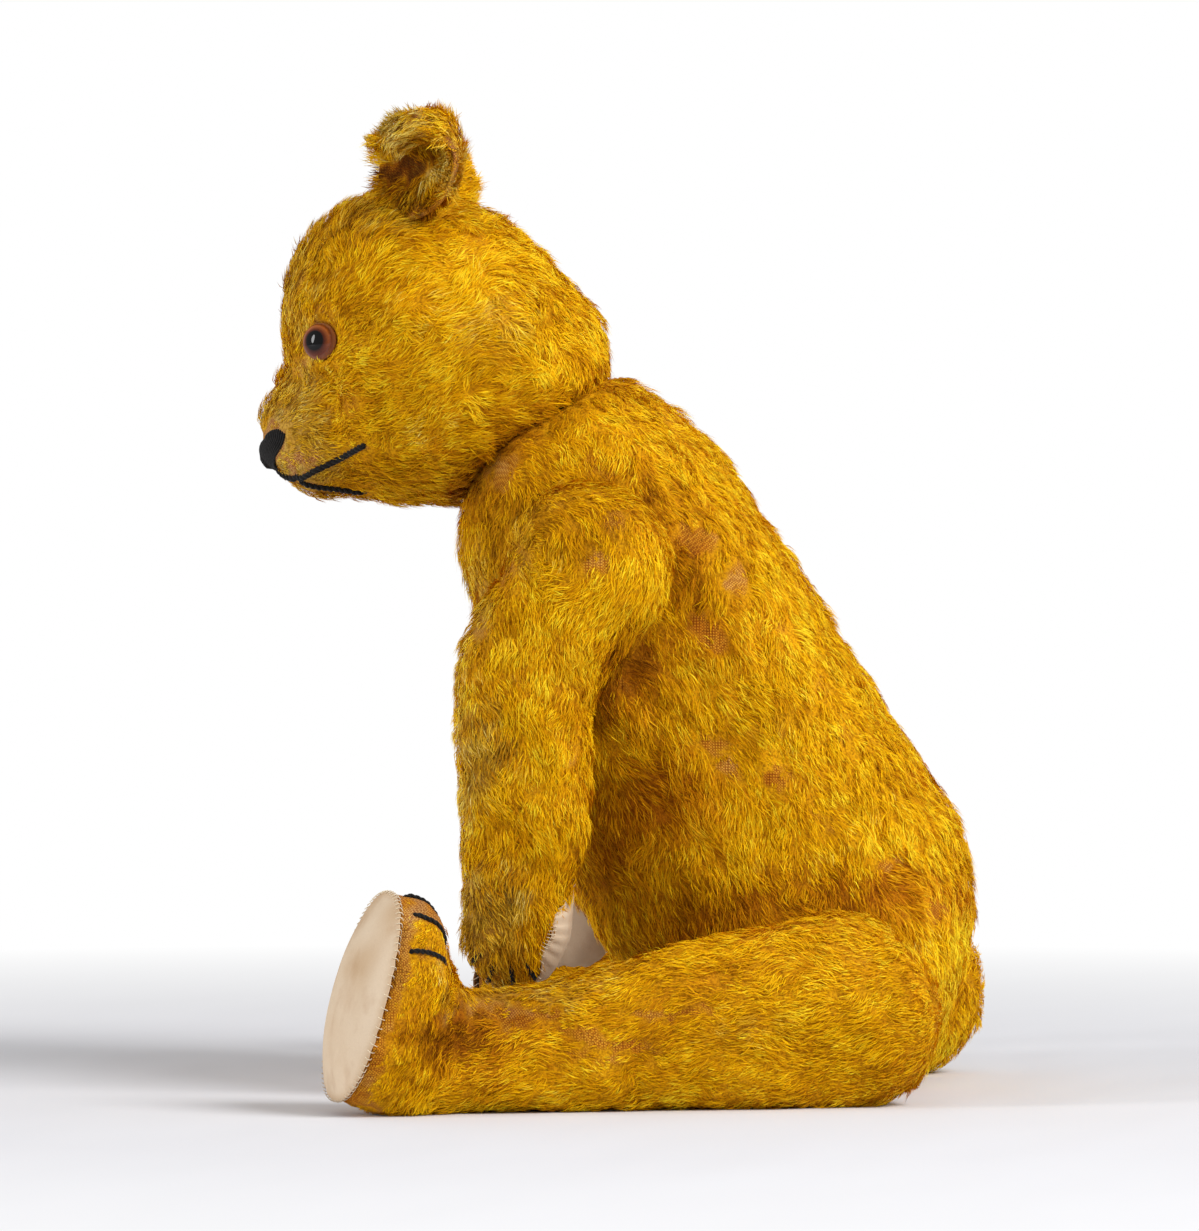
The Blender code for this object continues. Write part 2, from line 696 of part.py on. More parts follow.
def make_arm(side, word, pivot):
    arm = part("arm_" + word, arm_skin("arm_" + word, side), "mohair", pivot)
    under_pad = cutter("under_pad_" + word, arm_skin("under_pad_" + word, side, PAD_THICK + GAP), pivot)
    recess = cutter("paw_recess_" + word, paw_region("paw_recess_" + word, side, 0), pivot)
    boolean(recess, under_pad)
    boolean(arm, recess)
    name = "paw_pad_" + word
    pad = part(name, arm_skin(name, side), "felt", pivot)
    boolean(pad, cutter("paw_block_" + word, paw_region("paw_block_" + word, side, GAP), pivot), "INTERSECT")
    boolean(pad, cutter("in_pad_" + word, arm_skin("in_pad_" + word, side, PAD_THICK), pivot))
    skin = surface(arm.data)
    out, forward, down = HAND_CLAW_FAN
    middle = Vector((side * (SHOULDER.x + out), SHOULDER.y + forward, SHOULDER.z - down))
    stitches = []
    for angle in HAND_CLAW_ANGLES:
        stitch = []
        for step in range(4):
            tilt = HAND_CLAW_FROM + (HAND_CLAW_TO - HAND_CLAW_FROM) * step / 3
            outward = Vector((side * cos(tilt), -sin(tilt) * sin(angle), -sin(tilt) * cos(angle)))
            stitch.append((skin, middle + AWAY * outward, -outward))
        stitches.append(stitch)
    sew_claws("hand_claws_" + word, arm, stitches, pivot)


def sew_claws(name, limb, stitches, pivot):
    """One thread, over the cloth along each claw and under it to the next."""
    points = []
    for number, stitch in enumerate(stitches):
        stitch = stitch if number % 2 == 0 else stitch[::-1]
        lifts = [-THREAD_UNDER] + [THREAD_PROUD] * len(stitch) + [-THREAD_UNDER]
        for (skin, start, direction), lift in zip([stitch[0], *stitch, stitch[-1]], lifts):
            points.append(on_skin(skin, start, direction, lift))
    part(name, strand(name, points, THREAD_RADIUS), "thread", pivot)
    points[0] += (points[0] - points[1]).normalized() * THREAD_ROOM
    points[-1] += (points[-1] - points[-2]).normalized() * THREAD_ROOM
    groove = strand(name + "_groove", points, THREAD_RADIUS + THREAD_ROOM)
    boolean(limb, cutter(name + "_groove", groove, pivot))


# Legs


def leg_point(side, along, up, out):
    """A place on the leg: out from the hip along the leg, up, and out of the joint."""
    out += LEG_BENDS[side] * max(0, along - LEG_BEND_FROM)
    x = HIP.x + along * sin(SPLAY) + out * cos(SPLAY)
    y = HIP.y - along * cos(SPLAY) + out * sin(SPLAY)
    return Vector((side * x, y, HIP.z + up))


def leg_ring(side, row, share=1.0, on=0.0):
    along, under, top, inner, outer, lean, turned = row
    ups, outs = (under + top) / 2, (inner + outer) / 2
    ring = []
    for up, out in section(LIMB_SIDES, LEG_SQUARE, under, top, inner, outer):
        up = ups + share * (up - ups)
        out = outs + share * (out - outs)
        slope = lean * (up - ups) + turned * (out - outs)
        ring.append(leg_point(side, along + slope + on, up, out))
    return ring


def leg_rows():
    rows = []
    for row in LEG:
        sizes = [-PRESSED if v is None else v * MM for v in row[:5]]
        rows.append((*sizes, *row[5:]))
    return rows


def sole_rings(side, on):
    """Rings over the bulge of the sole, from its edge to its middle."""
    sole = leg_rows()[-1]
    rings = [leg_ring(side, sole, 1.0, on)]
    for share in CAP_RINGS:
        rings.append(leg_ring(side, sole, share, on + SOLE_BULGE * (1 - share**2)))
    along, under, top, inner, outer = sole[:5]
    rings.append([leg_point(side, along + on + SOLE_BULGE, (under + top) / 2, (inner + outer) / 2)])
    return rings


def make_leg(side, word, pivot):
    middle = (LEG_THICK - PRESSED) / 2
    half = (LEG_THICK + PRESSED) / 2
    rings = [[leg_point(side, -LEG_ROUND, 0, middle)]]
    for height, reach, k in round_end(LEG_ROUND):
        under = -reach * LEG_UNDER / LEG_ROUND
        rings.append(leg_ring(side, (-height, under, reach, middle - k * half, middle + k * half, 0, 0)))
    rings += [leg_ring(side, row) for row in leg_rows()[:-1]]
    mesh = loft("leg_" + word, rings + sole_rings(side, 0))
    axis = Vector((side * cos(SPLAY), sin(SPLAY), 0))
    press(mesh, leg_point(side, 0, 0, FACE_GAP), -axis)
    press(mesh, Vector((0, 0, FLOOR)), -UP)
    leg = part("leg_" + word, mesh, "mohair", pivot)
    pad = sole_rings(side, GAP)[::-1] + sole_rings(side, GAP + PAD_THICK)
    part("sole_pad_" + word, loft("sole_pad_" + word, pad), "felt", pivot)
    skin = surface(mesh)
    along, under, top, inner, outer, lean, turned = leg_rows()[-1]
    ups, outs = (under + top) / 2, (inner + outer) / 2
    stitches = []
    for angle in FOOT_CLAW_ANGLES:
        stitch = []
        for step in range(4):
            back = FOOT_CLAW_FROM + CLAW_LENGTH * step / 3
            up, out = AWAY * sin(angle), AWAY * cos(angle)
            middle = leg_point(side, along - back, ups, outs)
            start = leg_point(side, along - back + lean * up + turned * out, ups + up, outs + out)
            stitch.append((skin, start, (middle - start).normalized()))
        stitches.append(stitch)
    sew_claws("foot_claws_" + word, leg, stitches, pivot)
    return leg


# Bear


def stand_over_origin():
    """Brings the middle of the sitting bear over the origin."""
    bpy.context.view_layer.update()
    graph = bpy.context.evaluated_depsgraph_get()
    corners = []
    for thing in PARTS.objects:
        if thing.type == "MESH":
            drawn = thing.evaluated_get(graph)
            corners += [drawn.matrix_world @ vert.co for vert in drawn.data.vertices]
    for axis in (0, 1):
        reach = [corner[axis] for corner in corners]
        ROOT.location[axis] -= (min(reach) + max(reach)) / 2


for old in list(bpy.data.objects):
    bpy.data.objects.remove(old, do_unlink=True)

PARTS = collection("teddy_bear")
CUTTERS = collection("cutters")
SIDES = ((1, "left"), (-1, "right"))
NECK_AXIS = Vector((0, -sin(NECK_TILT), cos(NECK_TILT)))

ROOT = bpy.data.objects.new("bear", None)
PARTS.objects.link(ROOT)
BODY = Pivot("body", Vector((0, 0, 0)), UP)
NECK_BASE = Pivot("neck_base", NECK, NECK_AXIS)
HEAD_PIVOT = Pivot("head_pivot", NECK, NECK_AXIS, HEAD_TURN)

torso_joints = {"neck": NECK_BASE}
limb_pivots = {"neck": HEAD_PIVOT}
for side, word in SIDES:
    at = Vector((side * SHOULDER.x, SHOULDER.y, SHOULDER.z))
    pivot = Pivot("shoulder_" + word, at, Vector((side, 0, 0)))
    torso_joints["shoulder_" + word] = limb_pivots["shoulder_" + word] = pivot
    at = Vector((side * HIP.x, HIP.y, HIP.z))
    pivot = Pivot("hip_" + word, at, Vector((side * cos(SPLAY), sin(SPLAY), 0)))
    torso_joints["hip_" + word] = limb_pivots["hip_" + word] = pivot

torso = make_torso(torso_joints)

head_mesh = head_skin("head")
head = part("head", head_mesh, "mohair", HEAD_PIVOT)
head_surface = surface(head_mesh)
make_nose(head)
make_mouth(head, head_surface)
for side, word in SIDES:
    make_eye(head, head_surface, side, word)
    make_ear(side, word)
    make_arm(side, word, limb_pivots["shoulder_" + word])
    make_leg(side, word, limb_pivots["hip_" + word])

DISC_RADII = {"neck": NECK_DISC_RADIUS, "shoulder": ARM_DISC_RADIUS, "hip": LEG_DISC_RADIUS}
LIMBS = {"neck": "head", "shoulder": "arm", "hip": "leg"}
for name, base in torso_joints.items():
    kind = name.split("_")[0]
    limb_name = name.replace(kind, LIMBS[kind])
    pockets = joint_cutter(name, base, DISC_RADII[kind])
    boolean(torso, pockets)
    boolean(bpy.data.objects[limb_name], pockets)
    disc_joint(name, LIMBS[kind], base, limb_pivots[name], DISC_RADII[kind])

stand_over_origin()
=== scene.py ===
"""An old jointed mohair teddy bear, sitting: its looks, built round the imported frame."""

import json
from math import cos, pi, radians, sin

import bmesh
import bpy
import numpy as np
from mathutils import Matrix, Vector
from mathutils.bvhtree import BVHTree


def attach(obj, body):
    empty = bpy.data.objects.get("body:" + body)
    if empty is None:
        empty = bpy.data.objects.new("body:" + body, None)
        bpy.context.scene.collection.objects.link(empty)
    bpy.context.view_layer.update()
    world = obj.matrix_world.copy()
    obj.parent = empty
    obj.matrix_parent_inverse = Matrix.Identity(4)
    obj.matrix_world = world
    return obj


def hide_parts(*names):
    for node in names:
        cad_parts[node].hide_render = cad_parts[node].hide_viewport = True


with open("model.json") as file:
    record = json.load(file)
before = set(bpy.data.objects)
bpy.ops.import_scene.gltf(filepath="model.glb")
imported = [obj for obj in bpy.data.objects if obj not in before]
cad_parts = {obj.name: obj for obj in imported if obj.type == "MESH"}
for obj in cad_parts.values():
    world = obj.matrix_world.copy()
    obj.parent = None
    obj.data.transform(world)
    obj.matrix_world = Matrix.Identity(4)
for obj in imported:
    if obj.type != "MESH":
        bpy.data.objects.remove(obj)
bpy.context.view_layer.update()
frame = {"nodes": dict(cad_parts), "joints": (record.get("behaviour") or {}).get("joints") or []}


# Studio: the bear sits on a white sheet in front of white, lit by one wide soft light from
# behind its back and the camera, a smaller one in front, and by the white room all round. The
# camera looks at its left side from far off.
MM = 0.001
LOOK_AT = Vector((9.0, -5.4, 176.4)) * MM
CAMERA_ROUND = radians(98)
CAMERA_RISE = radians(0.5)
CAMERA_BACK = 2.8
PICTURE_WIDE, PICTURE_HIGH = 1199, 1231
FOCAL_PIXELS = 7467
SENSOR = 36.0

away = Vector((sin(CAMERA_ROUND) * cos(CAMERA_RISE), -cos(CAMERA_ROUND) * cos(CAMERA_RISE),
               sin(CAMERA_RISE)))
camera = bpy.data.objects.new("camera", bpy.data.cameras.new("camera"))
camera.data.sensor_width = SENSOR
camera.data.lens = SENSOR * FOCAL_PIXELS / PICTURE_HIGH
camera.location = LOOK_AT + CAMERA_BACK * away
camera.rotation_euler = away.to_track_quat("Z", "Y").to_euler()
bpy.context.scene.collection.objects.link(camera)
bpy.context.scene.camera = camera
bpy.context.scene.view_settings.view_transform = "Standard"


def lamp(name, place, size, power):
    light = bpy.data.lights.new(name, "AREA")
    light.shape = "ELLIPSE"
    light.size, light.size_y = size
    light.energy = power
    made = bpy.data.objects.new(name, light)
    made.location = place
    made.rotation_euler = (Vector(place) - LOOK_AT).to_track_quat("Z", "Y").to_euler()
    bpy.context.scene.collection.objects.link(made)


lamp("window", (1.15, 1.85, 1.85), (1.4, 1.4), 62)
lamp("front", (1.3, -2.2, 0.9), (0.6, 1.3), 24)


def srgb(red, green, blue):
    """A colour as it looks on a screen, from 0 to 255 each, as the linear one that shaders use."""
    return (*[((c / 255 + 0.055) / 1.055) ** 2.4 if c > 10 else c / 3294.6
              for c in (red, green, blue)], 1.0)


class Number:
    """A value that changes over a surface, and takes part in sums."""

    def __init__(self, finish, socket):
        self.finish = finish
        self.socket = socket

    def sum(self, operation, first, second, clamp=False):
        made = self.finish.node("Math", {0: first, 1: second}, operation=operation, use_clamp=clamp)
        return Number(self.finish, made.outputs[0])

    def __add__(self, other):
        return self.sum("ADD", self, other)

    __radd__ = __add__

    def __sub__(self, other):
        return self.sum("SUBTRACT", self, other)

    def __rsub__(self, other):
        return self.sum("SUBTRACT", other, self)

    def __mul__(self, other):
        return self.sum("MULTIPLY", self, other)

    __rmul__ = __mul__

    def above(self, low, high):
        """0 below low, 1 above high, and in between a straight rise."""
        return self.sum("MULTIPLY", self - low, 1 / (high - low), clamp=True)

    def wave(self):
        return Number(self.finish, self.finish.node("Math", {0: self}, operation="SINE").outputs[0])


class Finish:
    """A material as it is mixed: every node comes from node(), and shader is what they feed."""

    def __init__(self, name, constants=()):
        self.material = bpy.data.materials.new(name)
        self.material.use_nodes = True
        self.tree = self.material.node_tree
        self.shader = self.tree.nodes["Principled BSDF"]
        for socket, value in dict(constants).items():
            self.shader.inputs[socket].default_value = value

    def node(self, kind, inputs=(), stops=(), **settings):
        made = self.tree.nodes.new("ShaderNode" + kind)
        for name, value in settings.items():
            setattr(made, name, value)
        if stops:
            ramp = made.color_ramp.elements
            while len(ramp) < len(stops):
                ramp.new(0.5)
            for stop, (place, colour) in zip(ramp, stops):
                stop.position = place
                stop.color = colour
        for name, value in dict(inputs).items():
            self.feed(made.inputs[name], value)
        return made

    def feed(self, socket, value):
        if isinstance(value, Number):
            value = value.socket
        if isinstance(value, bpy.types.NodeSocket):
            self.tree.links.new(value, socket)
        else:
            socket.default_value = value

    def into(self, socket, value):
        self.feed(self.shader.inputs[socket], value)

    def place(self):
        return self.node("TexCoord").outputs["Object"]

    def noise(self, scale, detail=3.0, place=None, stretch=None):
        """Clouds of about 1/scale metres."""
        place = place or self.place()
        if stretch:
            place = self.node("Mapping", {"Vector": place, "Scale": stretch}).outputs[0]
        made = self.node("TexNoise", {"Vector": place, "Scale": scale, "Detail": detail})
        return Number(self, made.outputs["Fac"])

    def reading(self, name):
        return Number(self, self.node("Attribute", attribute_name=name).outputs["Fac"])

    def mix(self, share, first, second, how="MIX"):
        made = self.node("Mix", {0: share, 6: first, 7: second}, data_type="RGBA", blend_type=how)
        return made.outputs[2]

    def ramp(self, value, *stops):
        return self.node("ValToRGB", {0: value}, stops=stops).outputs["Color"]

    def bump(self, height, distance, strength=1.0):
        made = self.node("Bump", {"Height": height, "Distance": distance, "Strength": strength})
        self.into("Normal", made.outputs[0])


def white_sheet():
    """White all round, which the lamps still shade near the bear."""
    sheet = Finish("white_sheet", {"Roughness": 0.9, "Specular IOR Level": 0.1,
                                   "Base Color": srgb(230, 230, 234)})
    place = sheet.place()
    far = sheet.node("VectorMath", {0: place}, operation="LENGTH").outputs["Value"]
    folds = sheet.noise(3.0, 2.0, place, (1, 2.6, 1))
    sheet.bump(folds, 0.02, 0.35)
    glow = sheet.node("Emission", {"Color": (1, 1, 1, 1), "Strength": 1.0})
    seen = Number(sheet, sheet.node("LightPath").outputs["Is Camera Ray"])
    share = Number(sheet, far).above(0.35, 1.0) * seen
    both = sheet.node("MixShader", {0: share, 1: sheet.shader.outputs[0], 2: glow.outputs[0]})
    out = sheet.tree.nodes["Material Output"]
    sheet.feed(out.inputs["Surface"], both.outputs[0])
    return sheet.material


bm = bmesh.new()
bmesh.ops.create_grid(bm, x_segments=1, y_segments=1, size=4)
floor_mesh = bpy.data.meshes.new("sheet")
bm.to_mesh(floor_mesh)
bm.free()
floor = bpy.data.objects.new("sheet", floor_mesh)
bpy.context.scene.collection.objects.link(floor)
floor.data.materials.append(white_sheet())

ROOM_LIGHT = 0.47
room = bpy.data.worlds.new("room")
bpy.context.scene.world = room
room.use_nodes = True
paths = room.node_tree.nodes.new("ShaderNodeLightPath")
plain = room.node_tree.nodes.new("ShaderNodeMath")
plain.operation = "MAXIMUM"
room.node_tree.links.new(paths.outputs["Is Camera Ray"], plain.inputs[0])
plain.inputs[1].default_value = 0
level = room.node_tree.nodes.new("ShaderNodeMapRange")
level.inputs["To Min"].default_value = ROOM_LIGHT
level.inputs["To Max"].default_value = 1.0
room.node_tree.links.new(plain.outputs[0], level.inputs["Value"])
back = room.node_tree.nodes["Background"]
back.inputs["Color"].default_value = (1, 1, 1, 1)
room.node_tree.links.new(level.outputs["Result"], back.inputs["Strength"])


# Joints: each limb and the head turn on a steel cotter pin through two brown fibreboard
# discs and two steel washers, hidden in the stuffing. They are the frame's own parts.
def fibreboard():
    board = Finish("pressed_fibreboard", {"Roughness": 0.85})
    grain = board.noise(900, 4.0, stretch=(1, 1, 0.3))
    board.into("Base Color", board.ramp(grain, (0.3, srgb(96, 68, 44)), (0.7, srgb(150, 116, 82))))
    board.bump(grain, 0.2 * MM, 0.6)
    return board.material


def steel(name, colour):
    metal = Finish(name, {"Metallic": 1.0})
    scratches = metal.noise(2500, 3.0, stretch=(1, 1, 0.1))
    metal.into("Base Color", metal.mix(scratches, srgb(*colour), srgb(150, 138, 124)))
    metal.into("Roughness", scratches * 0.3 + 0.25)
    metal.bump(scratches, 0.05 * MM, 0.4)
    return metal.material


def refinish(node, material):
    thing = frame["nodes"][node]
    for place in thing.material_slots:
        place.material = material


board_finish = fibreboard()
washer_finish = steel("washer_steel", (190, 190, 188))
wire_finish = steel("wire_steel", (170, 168, 162))
for node in frame["nodes"]:
    if node.endswith("_disc"):
        refinish(node, board_finish)
    elif node.endswith("_washer"):
        refinish(node, washer_finish)
    elif node.endswith("_pin") or node.startswith("eye_shank"):
        refinish(node, wire_finish)


# Covers: plain-woven cloth, orange-brown, packed hard with wood wool. The pile once hid it
# everywhere, and shows the weave now where it has worn away. Each cover is remade evenly
# from its solid, without the joints' pockets inside.
JOINTS = {joint["name"]: (np.array(joint["pos_m"]), np.array(joint["axis"])) for joint in frame["joints"]}
POCKET_RADIUS = 23.0 * MM
POCKET_DEPTH = 18.0 * MM
CLOTH_POINTS = 2.85 * MM
CLOTH_OFF_FLOOR = 0.6 * MM  # room under it for the pile that it sits on
CRUSHED_PILE = 3.0 * MM


def waves(points, size, seed, count=9):
    """A smooth random value over space, mostly from -1 to 1, that changes over about size."""
    draw = np.random.default_rng(seed)
    ways = draw.normal(size=(3, count))
    ways *= 2 * pi / size * draw.uniform(0.6, 1.5, count) / np.linalg.norm(ways, axis=0)
    starts = draw.uniform(0, 2 * pi, count)
    return np.sin(points @ ways + starts).sum(1) * (1.3 / count**0.5)


def fade(values, low, high):
    """0 below low, 1 above high, and in between a smooth rise."""
    share = np.clip((values - low) / (high - low), 0, 1)
    return share * share * (3 - 2 * share)


right = np.array(camera.rotation_euler.to_matrix() @ Vector((1, 0, 0)))
upward = np.array(camera.rotation_euler.to_matrix() @ Vector((0, 1, 0)))
eye_point = np.array(camera.location)


def on_picture(points):
    """Where points lie in the photograph, in its pixels."""
    offset = points - eye_point
    depth = -(offset @ np.array(away))
    across = PICTURE_WIDE / 2 + FOCAL_PIXELS * (offset @ right) / depth
    down = PICTURE_HIGH / 2 - FOCAL_PIXELS * (offset @ upward) / depth
    return np.stack([across, down], 1)


FAR_SHIFT = np.array([46.0, -33.0])  # the far side is worn alike, but not in the same places


def spots(points, ellipses, ragged=3.5, soft=0.6):
    """How far points lie in any of the ellipses (x, y, half width, half height, turn, strength),
    given in the photograph's pixels, with ragged edges."""
    where = on_picture(points) + (points[:, :1] < 0) * FAR_SHIFT
    where[:, 0] += ragged * waves(points, 9 * MM, 11)
    where[:, 1] += ragged * waves(points, 9 * MM, 12)
    most = np.zeros(len(points))
    for x, y, wide, high, turn, strength in ellipses:
        c, s = cos(radians(turn)), sin(radians(turn))
        along = ((where[:, 0] - x) * c + (where[:, 1] - y) * s) / wide
        beside = ((where[:, 1] - y) * c - (where[:, 0] - x) * s) / high
        inside = fade(1.15 + soft / 2 - np.hypot(along, beside), 0, soft)
        most = np.maximum(most, strength * inside)
    return most


def read(layer, field, size, kind=np.float32):
    values = np.empty(len(layer) * size, kind)
    layer.foreach_get(field, values)
    return values.reshape(-1, size) if size > 1 else values


def points_of(mesh):
    return read(mesh.vertices, "co", 3).astype(float)


def add(name, mesh, material, body):
    """A new piece of the bear."""
    made = bpy.data.objects.new(name, mesh)
    bpy.context.scene.collection.objects.link(made)
    mesh.materials.append(material)
    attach(made, body)
    return made


def stuffed(name, nodes, voxel=CLOTH_POINTS, rounds=3):
    """The even outer skin of one or more solids, as a bmesh."""
    bm = bmesh.new()
    for node in nodes:
        bm.from_mesh(frame["nodes"][node].data)
    bmesh.ops.remove_doubles(bm, verts=bm.verts, dist=0.01 * MM)
    for place, axis in JOINTS.values():
        inner = []
        for face in bm.faces:
            offset = np.array(face.calc_center_median()) - place
            deep = abs(offset @ axis)
            if 0.4 * MM < deep < POCKET_DEPTH and offset @ offset - deep**2 < POCKET_RADIUS**2:
                inner.append(face)
        bmesh.ops.delete(bm, geom=inner, context="FACES")
    bmesh.ops.holes_fill(bm, edges=[edge for edge in bm.edges if edge.is_boundary])
    mesh = bpy.data.meshes.new(name)
    bm.to_mesh(mesh)
    bm.free()
    rough = bpy.data.objects.new(name, mesh)
    bpy.context.scene.collection.objects.link(rough)
    remesh = rough.modifiers.new("even", "REMESH")
    remesh.mode = "VOXEL"
    remesh.voxel_size = voxel
    graph = bpy.context.evaluated_depsgraph_get()
    even = bpy.data.meshes.new_from_object(rough.evaluated_get(graph))
    bpy.data.objects.remove(rough)
    bm = bmesh.new()
    bm.from_mesh(even)
    for _ in range(rounds):
        bmesh.ops.smooth_vert(bm, verts=bm.verts, factor=0.5, use_axis_x=True, use_axis_y=True,
                              use_axis_z=True)
    return bm


def unit(vectors):
    return vectors / np.maximum(np.linalg.norm(vectors, axis=1), 1e-9)[:, None]


def nearest(points, targets):
    """How far each point is from the nearest target."""
    most = np.full(len(points), 1.0)
    for target in targets:
        most = np.minimum(most, np.linalg.norm(points - target, axis=1))
    return most


def lumps(points, seed):
    """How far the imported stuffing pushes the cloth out."""
    return (0.7 * waves(points, 34 * MM, seed) + 0.3 * waves(points, 13 * MM, seed + 1)) * MM


def shaped(bm, name, push):
    """The mesh of a cover, each point moved by what push gives."""
    mesh = bpy.data.meshes.new(name)
    bm.to_mesh(mesh)
    bm.free()
    points = push(points_of(mesh), read(mesh.vertex_normals, "vector", 3).astype(float))
    points[:, 2] = np.maximum(points[:, 2], CLOTH_OFF_FLOOR)
    mesh.vertices.foreach_set("co", points.astype(np.float32).ravel())
    mesh.update()
    return mesh


def mark(mesh, name, values):
    layer = mesh.attributes.new(name, "FLOAT", "POINT")
    layer.data.foreach_set("value", np.asarray(values, np.float32))


def mohair_cloth():
    cloth = Finish("mohair_ground", {"Roughness": 0.9, "Specular IOR Level": 0.1})
    worn = cloth.reading("worn")
    hue = cloth.reading("hue")
    # light carries the pile's lightness, with its painted light and painted shade, into the cloth under the pile and
    # into the bare weave
    light = cloth.reading("light")
    place = cloth.place()
    drift = cloth.noise(260, 2.0, place)
    axes = cloth.node("SeparateXYZ", {0: place})
    pitch = 2 * pi / (1.05 * MM)
    x, y, z = [(Number(cloth, axes.outputs[k]) * pitch + drift * 3.0).wave() for k in range(3)]
    weave = (x * y + y * z + z * x) * 0.25 + 0.5
    cloud = cloth.noise(70, 4.0, place)
    fine = cloth.noise(1100, 3.0, place)
    rusty = cloth.ramp(light, (0.2, srgb(150, 76, 6)), (0.8, srgb(218, 138, 14)))
    gold = cloth.ramp(light, (0.2, srgb(168, 104, 4)), (0.8, srgb(240, 176, 12)))
    faded = cloth.ramp(light, (0.2, srgb(140, 100, 34)), (0.8, srgb(220, 184, 96)))
    under = cloth.mix(hue.above(0.0, 0.4), rusty, gold)
    under = cloth.mix(hue.above(0.6, 1.0), under, faded)
    under = cloth.mix(0.8, under, cloth.ramp(fine, (0.3, srgb(150, 130, 110)), (0.6, srgb(255, 255, 255))),
                      "MULTIPLY")
    bare = cloth.ramp(cloud, (0.3, srgb(204, 128, 22)), (0.55, srgb(222, 156, 40)),
                      (0.75, srgb(226, 172, 88)))
    bare = cloth.mix(hue.above(0.5, 1.0) * 0.7, bare, srgb(206, 160, 108))
    gaps = cloth.mix(weave.above(0.30, 0.62) * 0.8 + fine * 0.2, srgb(140, 70, 14), (1, 1, 1, 1))
    bare = cloth.mix(0.85, bare, gaps, "MULTIPLY")
    # painted shade: the bare weave is darkened where that lightness is low
    bare = cloth.mix(0.85, bare, cloth.ramp(light, (0.0, srgb(84, 60, 40)), (0.6, srgb(255, 255, 255))),
                     "MULTIPLY")
    stubs = fine.above(0.60, 0.66) * 0.55
    bare = cloth.mix(stubs, bare, srgb(70, 36, 10))
    cloth.into("Base Color", cloth.mix(worn.above(0.25, 0.75), under, bare))
    cloth.bump(weave * worn.above(0.2, 0.6) + fine * 0.8, 0.22 * MM, 0.9)
    return cloth.material


def mohair_pile():
    """The pile's palette: across, from orange through gold to khaki, and up, from dark to light."""
    pile = Finish("mohair_pile", {"Roughness": 0.7, "Specular IOR Level": 0.05})
    chart = pile.node("SeparateXYZ", {0: pile.node("UVMap", uv_map="OFBake").outputs[0]})
    hue = Number(pile, chart.outputs[0])
    light = Number(pile, chart.outputs[1])
    rusty = pile.ramp(light, (0.0, srgb(100, 46, 1)), (0.35, srgb(182, 106, 3)), (0.7, srgb(232, 160, 6)),
                      (1.0, srgb(250, 202, 36)))
    gold = pile.ramp(light, (0.0, srgb(112, 62, 0)), (0.35, srgb(206, 136, 1)), (0.7, srgb(248, 190, 4)),
                     (1.0, srgb(255, 228, 44)))
    khaki = pile.ramp(light, (0.0, srgb(100, 64, 6)), (0.35, srgb(172, 126, 24)), (0.7, srgb(224, 184, 60)),
                      (1.0, srgb(252, 234, 150)))
    colour = pile.mix(hue.above(0.0, 0.4), rusty, gold)
    colour = pile.mix(hue.above(0.6, 1.0), colour, khaki)
    pile.into("Base Color", colour)
    return pile.material


cloth_finish = mohair_cloth()
pile_finish = mohair_pile()

# (x, y, half width, half height, turn, strength) in the photograph's pixels
FADED = (
    (300, 255, 34, 95, 0, 0.75), (300, 405, 40, 40, 0, 0.6), (300, 470, 40, 30, 10, 0.9),
    (402, 126, 40, 22, 30, 1.0), (466, 155, 16, 50, -15, 0.7), (432, 900, 34, 18, 24, 1.0), (360, 220, 60, 26, -20, 0.5), (478, 640, 20, 150, 0, 0.6),
    (485, 820, 30, 90, 0, 0.5), (500, 930, 40, 60, 0, 0.6), (520, 530, 60, 40, -20, 0.45),
    (520, 1000, 90, 12, -6, 0.8), (640, 972, 90, 12, -14, 0.5), (470, 380, 110, 90, 0, 0.2),
    (600, 700, 12, 90, 0, 0.5), (620, 1040, 200, 40, 0, 0.1), (860, 930, 60, 20, 10, 0.2),
    # The (440, 165) spot lightens the pile towards pale khaki, as painted light over the shade by the ear
    (266, 425, 12, 26, 0, 1.0), (462, 820, 12, 150, 0, 0.7), (440, 165, 20, 24, 0, 0.8), (432, 903, 26, 14, 24, 1.0),
)
RUSTY = (
    # The (650, 800) spot on the flank behind the arm is partly the pile's own browner colour and partly painted
    # shade from the arm
    (650, 800, 62, 160, -12, 0.75), (520, 440, 60, 30, 30, 0.7), (690, 700, 60, 60, 0, 0.3),
    (470, 480, 50, 30, 0, 0.5), (440, 470, 40, 26, 0, 0.4), (560, 900, 26, 60, 20, 0.6),
    (820, 905, 170, 24, -6, 0.8), (470, 1060, 50, 40, 0, 0.5), (360, 380, 36, 30, 0, 0.45),
    # The (400, 169) spot turns the ear's hollow to the darker rusty hue, as painted shade under its folded top
    (400, 169, 32, 17, -12, 1.0), (430, 200, 12, 20, 0, 0.6),
    (560, 470, 90, 14, -4, 0.5), (690, 600, 16, 80, -20, 0.5), (560, 650, 70, 14, 15, 0.4),
    (600, 560, 40, 30, 0, 0.35), (330, 300, 24, 40, 0, 0.3), (560, 1040, 200, 26, 4, 0.4),
    (930, 1010, 30, 60, 20, 0.4), (700, 540, 60, 90, -30, 0.35), (540, 640, 60, 60, 0, 0.25),
)
